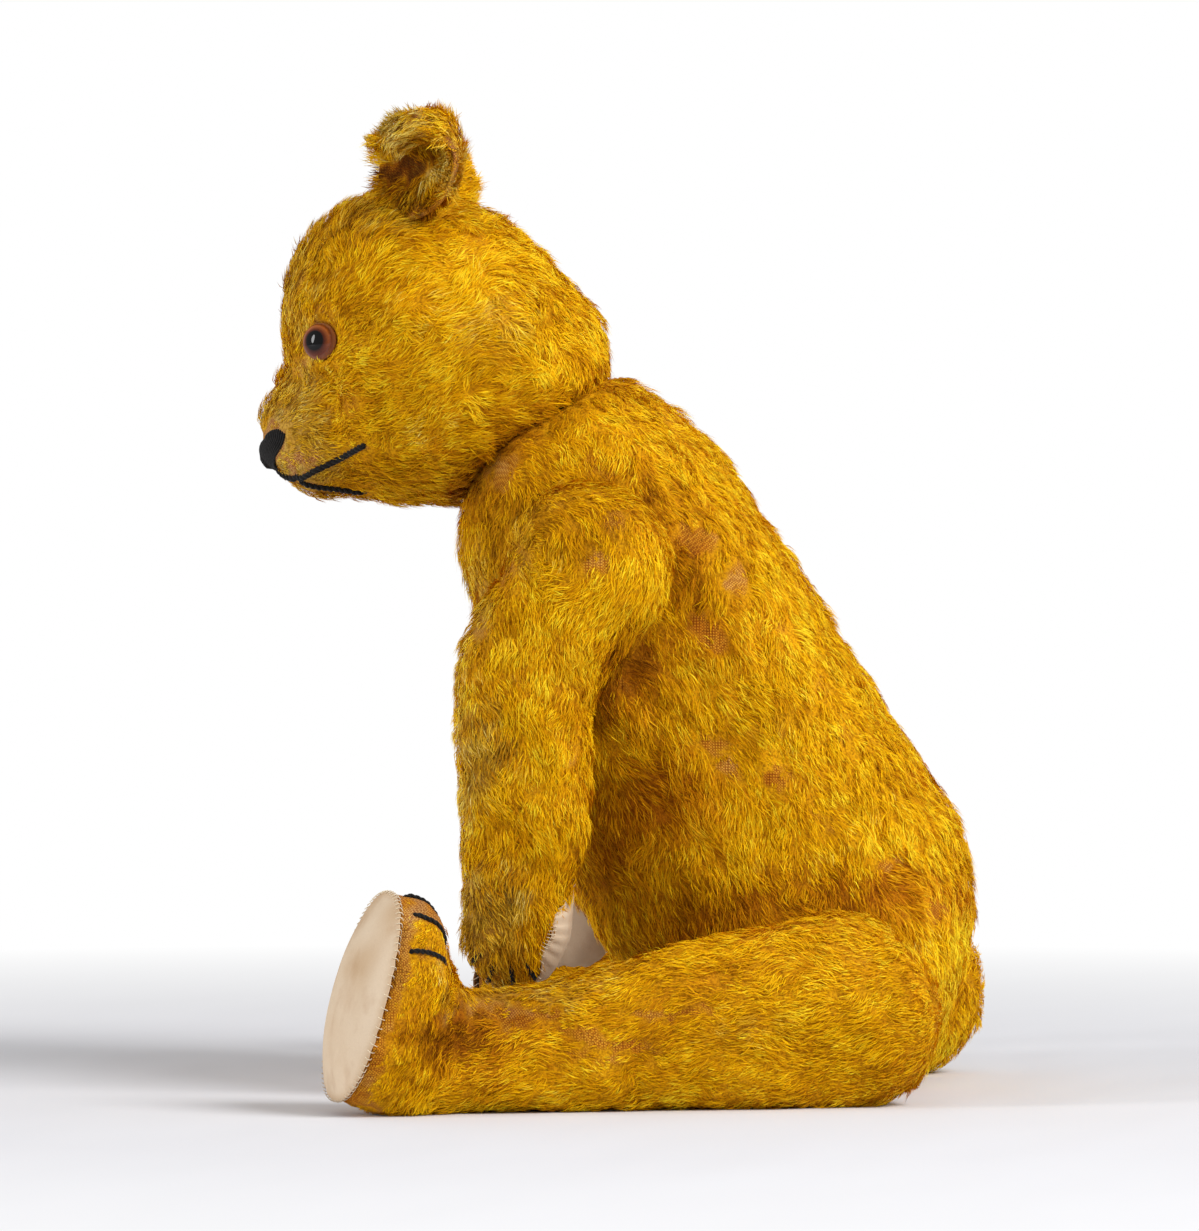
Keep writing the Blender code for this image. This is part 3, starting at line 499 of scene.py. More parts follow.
# Painted light: spots where the pile's colour is made lighter, standing for where the lamps light it most
PAINTED_LIGHT_SPOTS = (
    (560, 300, 60, 110, -30, 0.6), (780, 560, 60, 200, -32, 0.7), (760, 820, 90, 90, 0, 0.4),
    (900, 800, 60, 120, -20, 0.6), (940, 985, 26, 60, 10, 0.8), (470, 150, 20, 60, -20, 0.8), (395, 124, 34, 18, 30, 1.2), (600, 384, 26, 8, -20, 1.2),
    (860, 1000, 60, 50, 0, 0.4), (640, 600, 30, 40, 0, 0.7), (700, 1075, 160, 22, 0, 0.4),
    (470, 330, 70, 60, 0, 0.3), (555, 310, 40, 90, -30, 0.5), (655, 560, 20, 60, 0, 1.0),
    (588, 760, 16, 110, 4, 0.7), (955, 960, 30, 80, -10, 2.4), (925, 1000, 16, 40, 10, 0.8),
    (420, 400, 40, 40, 0, 0.8), (440, 490, 40, 20, 0, 0.7), (530, 740, 26, 60, 0, 0.9), (440, 160, 14, 20, 0, 1.2),
    (462, 800, 9, 170, 0, 0.9),
    (590, 490, 60, 10, 8, 0.4), (850, 915, 80, 9, -3, 0.5),
)
# Painted shade: spots where the pile's colour is made darker, standing for shade in creases, hollows and on sides
# turned from the lamps
PAINTED_SHADE_SPOTS = (
    (640, 860, 60, 100, -8, 0.7), (620, 720, 30, 80, -10, 0.5), (445, 1020, 24, 40, 30, 0.6),
    (500, 900, 34, 90, 10, 0.8), (440, 500, 60, 20, 0, 0.5), (500, 455, 40, 20, 30, 0.6),
    (810, 890, 170, 16, -6, 1.3), (560, 1015, 120, 12, -4, 0.4), (400, 169, 32, 17, -12, 3.6),
    (428, 196, 10, 22, 0, 1.0), (550, 520, 60, 30, 0, 0.9), (490, 690, 16, 90, 0, 0.8),
    (424, 980, 16, 40, 15, 0.7), (448, 1032, 34, 26, 20, 2.2), (432, 900, 34, 20, 24, 0.5),
    (700, 1060, 200, 30, 0, 0.35), (375, 235, 50, 20, -25, 0.4), (640, 655, 40, 12, 30, 1.4),
    (620, 690, 12, 40, -10, 1.2), (688, 560, 8, 60, 0, 1.2), (650, 480, 40, 8, 35, 0.9),
    (490, 480, 22, 12, 60, 1.0), (935, 930, 12, 30, -40, 0.8), (949, 1010, 7, 60, 8, 1.0),
    (880, 1000, 50, 40, 0, 0.5), (420, 980, 40, 40, 0, 0.5),
)


def tone(points):
    """The pile's place on its palette: its hue from where it has faded or rusted, and its lightness, which carries
    painted light and painted shade where the lamps light it or leave it in shade.
    """
    hue = 0.43 + 0.07 * waves(points, 55 * MM, 71) + 0.04 * waves(points, 14 * MM, 73)
    hue += 0.5 * spots(points, FADED, 9, 1.0) - 0.4 * spots(points, RUSTY, 9, 1.0)
    light = 0.60 + 0.05 * waves(points, 40 * MM, 72)
    # painted light and painted shade go into the pile's lightness here
    light += 0.14 * spots(points, PAINTED_LIGHT_SPOTS, 9, 1.0) - 0.18 * spots(points, PAINTED_SHADE_SPOTS, 9, 1.0)
    return np.clip(hue, 0, 1), light


def cover(name, mesh, body, nodes, wear, keep=None):
    """Lays the cloth over a stuffed part, which stands for its solids."""
    points = points_of(mesh)
    worn = np.clip(spots(points, wear) + 0.22 * fade(waves(points, 21 * MM, 5), 0.5, 1.3), 0, 1)
    if keep is not None:
        worn = np.maximum(worn, 1 - keep(points, None)[0])
    hue, light = tone(points)
    mark(mesh, "worn", worn)
    mark(mesh, "hue", hue)
    # this lightness carries painted light and painted shade
    mark(mesh, "light", light)
    made = add(name, mesh, cloth_finish, body)
    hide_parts(*nodes)
    return made


# Torso: a pear of cloth with a humped back, leaning forward over the legs. Its pile lies
# down the back, and has worn off in round patches along the side.
TORSO_WEAR = (
    (697, 541, 19, 13, 10, 1.0), (738, 580, 10, 15, -15, 0.95), (702, 626, 12, 8, 30, 0.9),
    (716, 642, 12, 9, 30, 0.8), (713, 745, 12, 8, 30, 0.9), (733, 772, 11, 9, 30, 0.9),
    (777, 777, 11, 10, 0, 0.85), (782, 624, 8, 8, 0, 0.45), (757, 614, 7, 7, 0, 0.4),
    (890, 862, 9, 7, -20, 0.95), (936, 915, 10, 13, 0, 0.8), (672, 420, 12, 15, 0, 0.35),
    (820, 690, 10, 9, 0, 0.45), (845, 735, 9, 9, 0, 0.45), (504, 472, 12, 16, 30, 0.8),
    (603, 472, 20, 6, 20, 0.5), (822, 822, 12, 9, 0, 0.35), (760, 860, 14, 10, 0, 0.3),
    (621, 682, 8, 12, 0, 0.6), (782, 730, 8, 7, 0, 0.5),
)
TORSO_HUMP = 4.5 * MM  # how far the stuffing swells the back
TORSO_BELLY = 5.0 * MM


def torso_push(points, normals):
    swell = TORSO_HUMP * fade(normals[:, 1], 0.1, 0.7) * fade(points[:, 2], 50 * MM, 100 * MM)
    swell *= 1 - 0.5 * fade(points[:, 2], 190 * MM, 215 * MM) - 0.5 * fade(points[:, 2], 232 * MM, 250 * MM)
    low = fade(points[:, 2], 25 * MM, 45 * MM) * (1 - fade(points[:, 2], 80 * MM, 120 * MM))
    swell += TORSO_BELLY * fade(-normals[:, 1], 0.3, 0.8) * low
    return points + normals * (lumps(points, 21) + swell)[:, None]


torso_mesh = shaped(stuffed("torso_cover", ["torso"]), "torso_cover", torso_push)


def torso_keep(points, normals):
    flat = points[:, 2] < 1.5 * MM
    return 1 - 0.3 * flat, np.where(flat, CRUSHED_PILE, 12 * MM)


torso_cover = cover("torso_cover", torso_mesh, "torso", ["torso"], TORSO_WEAR)

# Head: a wide ball with a short snout and full cheeks. Its pile is brushed back from the nose.
# The measures here are in the head's own frame, as it looked before it turned to its left.
NECK = Vector((0, -31.0, 246.0)) * MM
neck_place, neck_axis = JOINTS["neck"]
HEAD_TURN = radians(8)
head_place = (Matrix.Translation(Vector(neck_place)) @ Matrix.Rotation(HEAD_TURN, 4, Vector(neck_axis))
              @ Matrix.Translation(-NECK))
EYE_RADIUS = 7.0 * MM
EYE_DEPTH = 4.6 * MM
EYE_BACK = 2.2 * MM
EYE_FORWARD = radians(28)
NOSE_AT = Vector((0, -133.0, 238.0)) * MM
SNOUT_TIP = Vector((0, -126.0, 239.0)) * MM
SNOUT_MIDDLE = Vector((0, -104.0, 239.0)) * MM
SNOUT_FULL = 4.5 * MM
NOSE_SUNK = 1.0 * MM
SNOUT_ROUND_FROM = 100 * MM  # the snout is rounded from here forward, within this half width and length
SNOUT_ROUND = np.array((26.0, 37.4)) * MM
SNOUT_POWER = 1.6
SNOUT_CHIN, SNOUT_CREST = 236 * MM, 247 * MM  # it falls back below the one and above the other
HEAD_WEAR = (
    (268, 428, 6, 10, 30, 0.9), (298, 461, 15, 8, 0, 0.7), (288, 480, 14, 5, 20, 0.6),
    (300, 370, 8, 10, 0, 0.4), (326, 314, 12, 5, 0, 0.5), (470, 250, 20, 14, 0, 0.3),
    (520, 300, 16, 12, 0, 0.3), (344, 404, 12, 12, 0, 0.35),
)
eyes = {}
for side, word in ((1, "left"), (-1, "right")):
    outward = (head_place.to_3x3() @ Vector((side * cos(EYE_FORWARD), -sin(EYE_FORWARD), 0))).normalized()
    corners = points_of(frame["nodes"]["eye_" + word].data)
    middle = (corners.min(0) + corners.max(0)) / 2
    depths = corners @ np.array(outward)
    middle = middle + (depths.min() + EYE_BACK - middle @ np.array(outward)) * np.array(outward)
    eyes[word] = (middle, np.array(outward))


def turned_into(points, place):
    """Points moved by a matrix."""
    matrix = np.array(place)
    return points @ matrix[:3, :3].T + matrix[:3, 3]


def from_eye(points, word):
    """How far points lie from the middle line of an eye, and out along it."""
    middle, outward = eyes[word]
    offset = points - middle
    along = offset @ outward
    return np.linalg.norm(offset - along[:, None] * outward, axis=1), along


def press_eyes(points, normals):
    """The stuffing's lumps, the full snout, and the hollows that the eyes are drawn into."""
    points = points + normals * lumps(points, 31)[:, None]
    full = SNOUT_FULL * (1 - fade(nearest(points, [np.array(head_place @ SNOUT_TIP)]), 12 * MM, 32 * MM))
    beside_nose = fade(nearest(points, [np.array(head_place @ NOSE_AT)]), 4 * MM, 12 * MM)
    full = full * beside_nose - NOSE_SUNK * (1 - beside_nose)
    points = points + unit(points - np.array(head_place @ SNOUT_MIDDLE)) * full[:, None]
    own = turned_into(points, head_place.inverted())
    ahead = np.maximum(-own[:, 1] - SNOUT_ROUND_FROM, 0)
    below, above = np.maximum(SNOUT_CHIN - own[:, 2], 0), np.maximum(own[:, 2] - SNOUT_CREST, 0)
    longest = SNOUT_ROUND[1] - 1.65 * below**2 / (below + 6.6 * MM) - np.minimum(36 * above**2, 7 * MM)
    past = (np.abs(own[:, 0] / SNOUT_ROUND[0])**SNOUT_POWER + (ahead / longest)**SNOUT_POWER)**(1 / SNOUT_POWER)
    bound = fade(ahead, 0, 12 * MM) * (1 - fade(own[:, 2], 257 * MM, 268 * MM))
    shrink = 1 - bound * (1 - 1 / np.maximum(past, 1))
    own[:, 0] *= shrink
    own[:, 1] = np.where(ahead > 0, -SNOUT_ROUND_FROM - ahead * shrink, own[:, 1])
    points = turned_into(own, head_place)
    for word, (middle, outward) in eyes.items():
        beside, along = from_eye(points, word)
        most = (-0.9 * MM) + np.maximum(beside - 7.0 * MM, 0) * 1.1
        near = (beside < 11 * MM) & (along > -12 * MM)
        points = points - (np.maximum(along - most, 0) * near)[:, None] * outward
    return points


head_mesh = shaped(stuffed("head_cover", ["head", "nose_stitching"], 2.25 * MM, 2), "head_cover", press_eyes)


# Nose and mouth: black embroidery thread. The nose is a fan of satin stitches over a padded
# base, and the mouth is one stem and one long stitch either way, of two plies laid together.
THREAD_PLY = 0.74 * MM
THREAD_PITCH = 4.5 * MM
NOSE_STITCHES = 33
NOSE_MIDDLE = Vector((0, -116.0, 238.0)) * MM  # its stitches lie round this place
NOSE_FORM = np.array((17.0, 21.0, 10.4)) * MM  # half the width, depth and height of its padding
NOSE_TOP, NOSE_BOTTOM = radians(9), radians(-32)
NOSE_CORNERS = radians(12), radians(8)  # how much higher its outer stitches begin and end
NOSE_WIDE = radians(53), radians(12)  # half its width, at the top and at the bottom
# Where each thread goes, as places near the cloth and the ways in to it there
MOUTH_JOIN = ((13, -122, 226), (0, 0, 1))
MOUTH_STEM = (((3, -131, 231), (0, 1, 0)), ((7, -127, 228), (0, 0.6, 0.8)), MOUTH_JOIN)
MOUTH_NEAR = (((26, -95.4, 236.6), (-1, 0, 0)), ((24, -102, 234), (-1, 0, 0)), ((22, -108.2, 231.3), (-1, 0, 0)),
              ((19, -115, 228.6), (-1, 0, 0.3)), ((16, -119, 227.2), (-0.7, 0, 0.7)), MOUTH_JOIN)
MOUTH_FAR = (MOUTH_JOIN, ((11, -115, 222), (0, 0, 1)), ((9, -107, 221.5), (0, 0, 1)), ((7, -97, 221), (0, 0, 1)))


def tree_of(mesh):
    return BVHTree.FromPolygons([v.co for v in mesh.vertices], [p.vertices[:] for p in mesh.polygons])


def onto(tree, start, inward, lift):
    """Where a line from outside meets a cover, lifted off it."""
    spot = tree.ray_cast(Vector(start), Vector(inward))[0]
    return np.array(spot) - np.array(Vector(inward).normalized()) * lift


def eased(line, rounds=2):
    """A line of points with its corners rounded."""
    line = np.array(line)
    for _ in range(rounds):
        cut = np.concatenate([line[:-1] * 0.75 + line[1:] * 0.25, line[:-1] * 0.25 + line[1:] * 0.75], 1)
        line = np.concatenate([line[:1], cut.reshape(-1, 3), line[-1:]])
    return line


def laid_threads(name, lines, radius, plies=1, sides=1):
    """Thread along each line, as one mesh. Two plies or more wind round each other."""
    curve = bpy.data.curves.new(name, "CURVE")
    curve.dimensions = "3D"
    curve.bevel_depth = radius
    curve.bevel_resolution = sides
    curve.use_fill_caps = True
    for line in lines:
        steps = np.linalg.norm(np.diff(line, axis=0), axis=1)
        along = np.concatenate([[0], np.cumsum(steps)])
        if plies > 1:
            even = np.linspace(0, along[-1], max(6, int(along[-1] / (0.6 * MM))))
            line = np.stack([np.interp(even, along, line[:, k]) for k in range(3)], 1)
            along = even
        way = np.gradient(line, axis=0)
        way /= np.maximum(np.linalg.norm(way, axis=1), 1e-12)[:, None]
        first = np.cross(way, (0.31, 0.17, 0.93))
        first /= np.linalg.norm(first, axis=1)[:, None]
        second = np.cross(way, first)
        for ply in range(plies):
            angle = 2 * pi * (along / THREAD_PITCH + ply / plies)
            wind = 0.75 * radius * (plies > 1)
            points = line + wind * (np.cos(angle)[:, None] * first + np.sin(angle)[:, None] * second)
            strand = curve.splines.new("POLY")
            strand.points.add(len(points) - 1)
            strand.points.foreach_set("co", np.concatenate([points, np.ones((len(points), 1))], 1).ravel())
    holder = bpy.data.objects.new(name, curve)
    bpy.context.scene.collection.objects.link(holder)
    graph = bpy.context.evaluated_depsgraph_get()
    mesh = bpy.data.meshes.new_from_object(holder.evaluated_get(graph))
    bpy.data.objects.remove(holder)
    bpy.data.curves.remove(curve)
    mesh.materials.clear()
    bm = bmesh.new()
    bm.from_mesh(mesh)
    bmesh.ops.remove_doubles(bm, verts=bm.verts, dist=0.001 * MM)
    bmesh.ops.recalc_face_normals(bm, faces=bm.faces)
    for face in bm.faces:
        face.smooth = True
    bm.to_mesh(mesh)
    bm.free()
    return mesh


def moulded(name, across, up, place):
    """A ball of so many faces, each of whose points place() moves."""
    bm = bmesh.new()
    bmesh.ops.create_uvsphere(bm, u_segments=across, v_segments=up, radius=1)
    mesh = bpy.data.meshes.new(name)
    bm.to_mesh(mesh)
    ball = points_of(mesh)
    mesh.vertices.foreach_set("co", place(ball).astype(np.float32).ravel())
    bm.clear()
    bm.from_mesh(mesh)
    bmesh.ops.recalc_face_normals(bm, faces=bm.faces)
    for face in bm.faces:
        face.smooth = True
    bm.to_mesh(mesh)
    bm.free()
    return mesh, ball


def dark_thread():
    thread = Finish("black_thread", {"Roughness": 0.8, "Specular IOR Level": 0.2, "Sheen Weight": 0.1})
    fuzz = thread.noise(1800, 3.0)
    thread.into("Base Color", thread.ramp(fuzz, (0.35, srgb(9, 8, 8)), (0.75, srgb(36, 32, 29))))
    thread.bump(fuzz, 0.12 * MM, 0.8)
    return thread.material


thread_finish = dark_thread()
head_tree = tree_of(head_mesh)
nose_middle = head_place @ NOSE_MIDDLE


def nose_spot(share, down, lift):
    """A place on the nose: on its padding, or on the cloth where that is prouder."""
    narrow = down**2.2
    turn = share * (NOSE_WIDE[0] * (1 - narrow) + NOSE_WIDE[1] * narrow)
    outer = fade(abs(share), 0, 0.7) - 0.5 * fade(abs(share), 0.8, 1.05)
    top, bottom = NOSE_TOP + NOSE_CORNERS[0] * outer, NOSE_BOTTOM + NOSE_CORNERS[1] * share**2
    rise = top + (bottom - top) * down
    own = Vector((sin(turn) * cos(rise), -cos(turn) * cos(rise), sin(rise)))
    way = head_place.to_3x3() @ own
    cloth = (Vector(onto(head_tree, nose_middle + 0.06 * way, -way, 0)) - nose_middle).length
    padded = 1 / np.linalg.norm(np.array(own) / NOSE_FORM)
    far = cloth - 0.7 * MM if down in (0, 1) else max(cloth, padded) + lift
    return np.array(nose_middle) + far * np.array(way)


def nose_padding(ball):
    """The padding under the nose's stitches."""
    return np.array([nose_spot(0.97 * x, 0.5 - 0.46 * z, (-0.25 if y < 0 else -2.0) * MM) for x, y, z in ball])


add("nose_padding", moulded("nose_padding", 32, 16, nose_padding)[0], thread_finish, "head")
lines = []
for share in np.linspace(-1, 1, NOSE_STITCHES):
    lines.append(np.array([nose_spot(share, down, 0.25 * MM) for down in np.linspace(0, 1, 14)]))
nose_points = np.concatenate(lines)
nose = add("nose_satin", laid_threads("nose_satin", lines, 0.52 * MM), thread_finish, "head")
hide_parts("nose_stitching")



def sewn_on_head(guides):
    """A stitch over the head's cloth, whose ends go in through it."""
    line = []
    for (start, inward), (next_start, next_inward) in zip(guides, guides[1:]):
        for share in (0, 0.25, 0.5, 0.75, 1)[:5 if next_start == guides[-1][0] else 4]:
            way = Vector(inward).lerp(Vector(next_inward), share).normalized()
            at = Vector(start).lerp(Vector(next_start), share) * MM - 0.04 * way
            lift = 0.55 * MM if 0 < len(line) < 4 * len(guides) - 4 else -0.8 * MM
            line.append(onto(head_tree, head_place @ at, head_place.to_3x3() @ way, lift))
    return eased(line, 1)


mouth_lines = [sewn_on_head(guides) for guides in (MOUTH_STEM, MOUTH_NEAR, MOUTH_FAR)]
mouth_points = np.concatenate(mouth_lines)
mouth = add("mouth_thread", laid_threads("mouth_thread", mouth_lines, THREAD_PLY, 2), thread_finish, "head")
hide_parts("mouth_stitching")


def beyond(distance, bare, slope=1.2):
    """How long pile may be this far from what must show."""
    return np.maximum(distance - bare, 0) * slope


def head_keep(points, normals):
    """The pile that is left near the eyes, the nose and the mouth: how much, and how long."""
    from_nose = nearest(points, nose_points)
    longest = 1.6 * MM + beyond(from_nose, 1.0 * MM, 0.5)
    longest = np.minimum(longest, 1.2 * MM + beyond(nearest(points, mouth_points), 0.8 * MM, 1.0))
    share = (from_nose > 1.2 * MM) & (nearest(points, mouth_points) > 1.3 * MM)
    for word, (middle, outward) in eyes.items():
        beside, along = from_eye(points, word)
        near = along > -14 * MM
        share &= ~((beside < 7.3 * MM) & near)
        longest = np.where(near, np.minimum(longest, 1.2 * MM + beyond(beside, 6.8 * MM, 0.95)), longest)
    return share * 1.0, longest


head_cover = cover("head_cover", head_mesh, "head", ["head"], HEAD_WEAR, head_keep)


# Eyes: buttons of amber glass, painted brown behind with a black pupil, on a wire shank.
# Each is domed and polished, and set a little into the cloth.
PUPIL = 0.52  # its radius as a share of the eye's


def amber_glass():
    glass = Finish("amber_glass", {"Roughness": 0.3, "Specular IOR Level": 0.0, "Coat Weight": 1.0,
                                   "Coat Roughness": 0.02, "Coat IOR": 1.36})
    share = glass.reading("share")
    high = glass.reading("high")
    streaks = glass.noise(900, 2.0)
    iris = glass.ramp(share + (streaks - 0.5) * 0.06, (0.50, srgb(40, 14, 6)), (0.62, srgb(104, 44, 12)),
                      (0.80, srgb(182, 100, 38)), (0.90, srgb(120, 58, 30)), (1.0, srgb(190, 140, 108)))
    # Painted shade: the lower part of the iris is darker, and its upper part lighter, as light falls from above
    shaded_lower_iris = glass.ramp(share, (0.5, srgb(30, 8, 6)), (0.8, srgb(104, 46, 26)), (1.0, srgb(160, 112, 88)))
    colour = glass.mix(high.above(0.2, 0.8), shaded_lower_iris, iris)
    edge = share.above(PUPIL - 0.03, PUPIL + 0.03)
    glass.into("Base Color", glass.mix(edge, srgb(8, 5, 5), colour))
    return glass.material


glass_finish = amber_glass()
for word, (middle, outward) in eyes.items():
    way = Vector(outward)
    sideways = Vector((0, 0, 1)).cross(way).normalized()
    turned = np.array(Matrix((sideways, way.cross(sideways), way)))

    def domed(ball):
        depth = np.where(ball[:, 2:] > 0, EYE_DEPTH, EYE_BACK)
        ball = np.concatenate([ball[:, :2] * EYE_RADIUS, ball[:, 2:] * depth], 1)
        return ball @ turned + middle

    mesh, ball = moulded("eye_glass_" + word, 36, 24, domed)
    mark(mesh, "share", np.hypot(ball[:, 0], ball[:, 1]))
    # high runs from the eye's bottom to its top, for the painted shade on the lower iris
    mark(mesh, "high", 0.5 + 0.5 * ball[:, 1])
    eye = add("eye_glass_" + word, mesh, glass_finish, "head")
    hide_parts("eye_" + word)


# Ears: two rounds of mohair sewn together and cupped, each sewn to the head across its seam.
# The tops have flopped forward over the hollow, and the fold has worn to the weave.
EAR_AT = Vector((37.0, -77.0, 341.0)) * MM
EAR_FACING = Vector((0.70, -0.70, 0.12)).normalized()
EAR_RADIUS = 23.5 * MM
EAR_FLOP = 17 * MM  # how much further the folded top reaches along the cloth
EAR_FOLD_AT = 16.5 * MM  # along the cloth from the middle
EAR_FOLD_RADIUS = 5 * MM
EAR_DISH = 8 * MM
EAR_HALF_THICK = 2.3 * MM
EAR_TOP = radians(88)  # which way the top folds, up from the outer side
EAR_WEAR = (
    (420, 127, 26, 3, 40, 0.85), (452, 153, 20, 3.5, 62, 0.9), (458, 186, 16, 6, 122, 0.95),
    (436, 206, 22, 5, 155, 0.8), (418, 208, 5, 9, 0, 0.8), (402, 169, 24, 12, -10, 0.9),
)


def ear_places(ball, side):
    """Where the points of a ball go in the ear, and the way out to its rim there."""
    reach = np.hypot(ball[:, 0], ball[:, 1])
    angle = np.arctan2(ball[:, 1], ball[:, 0])
    top = fade(np.cos(angle - EAR_TOP), 0.05, 0.85)
    whole = EAR_RADIUS + EAR_FLOP * top
    steps = np.linspace(0, 1, 80)
    s = steps[None, :] * (reach * whole)[:, None]
    first = EAR_FOLD_AT * 2 * EAR_DISH / EAR_RADIUS**2
    most = radians(42) + radians(108) * top
    bend = s * 2 * EAR_DISH / EAR_RADIUS**2
    beyond_fold = np.maximum(s - EAR_FOLD_AT, 0)
    bend = np.where(s < EAR_FOLD_AT, bend, np.minimum(first + beyond_fold / EAR_FOLD_RADIUS, most[:, None]))
    step = s[:, 1:] - s[:, :-1]
    middle = (bend[:, 1:] + bend[:, :-1]) / 2
    out = (np.cos(middle) * step).sum(1)
    front = (np.sin(middle) * step).sum(1) - EAR_DISH
    tangent = bend[:, -1]
    thick = EAR_HALF_THICK * ball[:, 2]
    out -= thick * np.sin(tangent)
    front += thick * np.cos(tangent)
    across = np.array(Vector((0, 0, 1)).cross(EAR_FACING).normalized())
    facing = np.array(EAR_FACING)
    high = np.cross(facing, across)
    ray = np.cos(angle)[:, None] * across + np.sin(angle)[:, None] * high
    places = np.array(EAR_AT) + out[:, None] * ray + front[:, None] * facing
    lie = np.cos(tangent)[:, None] * ray + np.sin(tangent)[:, None] * facing
    places[:, 0] *= side
    lie[:, 0] *= side
    return turned_into(places, head_place), lie @ np.array(head_place.to_3x3()).T


ears = {}
for side, word in ((1, "left"), (-1, "right")):
    mesh, ball = moulded("ear_cloth_" + word, 48, 28, lambda ball: ear_places(ball, side)[0])
    ear = cover("ear_cloth_" + word, mesh, "head", ["ear_" + word], EAR_WEAR)
    places, lie = ear_places(ball, side)
    ears[word] = (mesh, places, lie)


# Arms: sausages with round tops, bent a little forward, each held flat to the body's side.
SHOULDER_FRONT = np.array((17.0, -26.0, -131.0)) * MM
ARM_WEAR = (
    (597, 562, 14, 12, 20, 0.9), (614, 518, 9, 9, 0, 0.5), (539, 484, 14, 5, -10, 0.6),
    (509, 578, 8, 12, 0, 0.4), (575, 750, 7, 14, 0, 0.5), (536, 784, 12, 9, 0, 0.4),
    (518, 679, 10, 10, 0, 0.3), (481, 633, 8, 10, 0, 0.3), (557, 690, 10, 14, 0, 0.3),
)
ARM_FULL = 3.2 * MM  # how far the stuffing swells the arm's front
PAW_FULL = 2.2 * MM


def arm_push(points, normals):
    swell = ARM_FULL * fade(-normals[:, 1], 0.1, 0.7) * (1 - fade(points[:, 2], 165 * MM, 195 * MM))
    swell += PAW_FULL * (1 - fade(points[:, 2], 55 * MM, 85 * MM)) * (1 + 0.5 * fade(-normals[:, 1], 0.2, 0.8))
    return points + normals * (lumps(points, 41) + swell)[:, None]


arm_meshes = {}
arm_trees = {}
for word in ("left", "right"):
    arm_meshes[word] = shaped(stuffed("arm", ["arm_" + word, "paw_pad_" + word]), "arm_cover_" + word, arm_push)
    arm_trees[word] = tree_of(arm_meshes[word])


# Paw pads: cream felt over the inner side of each paw, gathered and whip-stitched round
# its edge with cream thread.
FELT_THICK = 1.8 * MM
PAD_MIDDLE = np.array((16.5, -24.0, -131.0)) * MM  # out, back and up from the shoulder
STITCH_EVERY = 2.7 * MM
STITCH_RADIUS = 0.17 * MM


def cream_felt():
    felt = Finish("cream_felt", {"Roughness": 0.95, "Specular IOR Level": 0.1})
    cloud = felt.noise(42, 4.0)
    fibre = felt.noise(1500, 4.0)
    stain = felt.noise(95, 3.0, stretch=(1, 1, 0.6))
    colour = felt.ramp(cloud, (0.25, srgb(210, 182, 150)), (0.5, srgb(228, 206, 178)), (0.75, srgb(234, 214, 188)))
    colour = felt.mix(stain.above(0.56, 0.75) * 0.45, colour, srgb(190, 152, 116))
    colour = felt.mix(felt.reading("edge") * 0.5, colour, srgb(196, 160, 118))
    colour = felt.mix(fibre * 0.22, colour, srgb(176, 146, 112))
    felt.into("Base Color", colour)
    felt.bump(fibre + cloud * 0.6, 0.16 * MM, 0.7)
    return felt.material


def cream_thread():
    thread = Finish("cream_thread", {"Roughness": 0.8, "Specular IOR Level": 0.2})
    ply = thread.noise(2600, 2.0)
    thread.into("Base Color", thread.ramp(ply, (0.3, srgb(206, 184, 150)), (0.7, srgb(240, 228, 204))))
    return thread.material


felt_finish = cream_felt()
whip_finish = cream_thread()


def pad_edge(angle):
    """How wide the paw pad opens from its middle, by the way round: 0 is up and 90 degrees back."""
    return radians(88) - radians(33) * fade(np.cos(angle), 0.15, 0.95) + radians(46) * fade(np.cos(angle - radians(104)), 0.3, 0.9)


def pad_rays(side, share, angle):
    """Lines out from inside the paw: where they start, and their ways."""
    shoulder = JOINTS["shoulder_left" if side > 0 else "shoulder_right"][0]
    start = shoulder + PAD_MIDDLE * (side, 1, 1)
    tilt = share * pad_edge(angle)
    ways = np.stack([-side * np.cos(tilt), np.sin(tilt) * np.sin(angle), np.sin(tilt) * np.cos(angle)], 1)
    return start, ways


def reach_of(tree, start, ways):
    """How far a cover is from a place inside it, each way."""
    return np.array([(tree.ray_cast(Vector(start), Vector(way))[3] or 0) for way in ways])


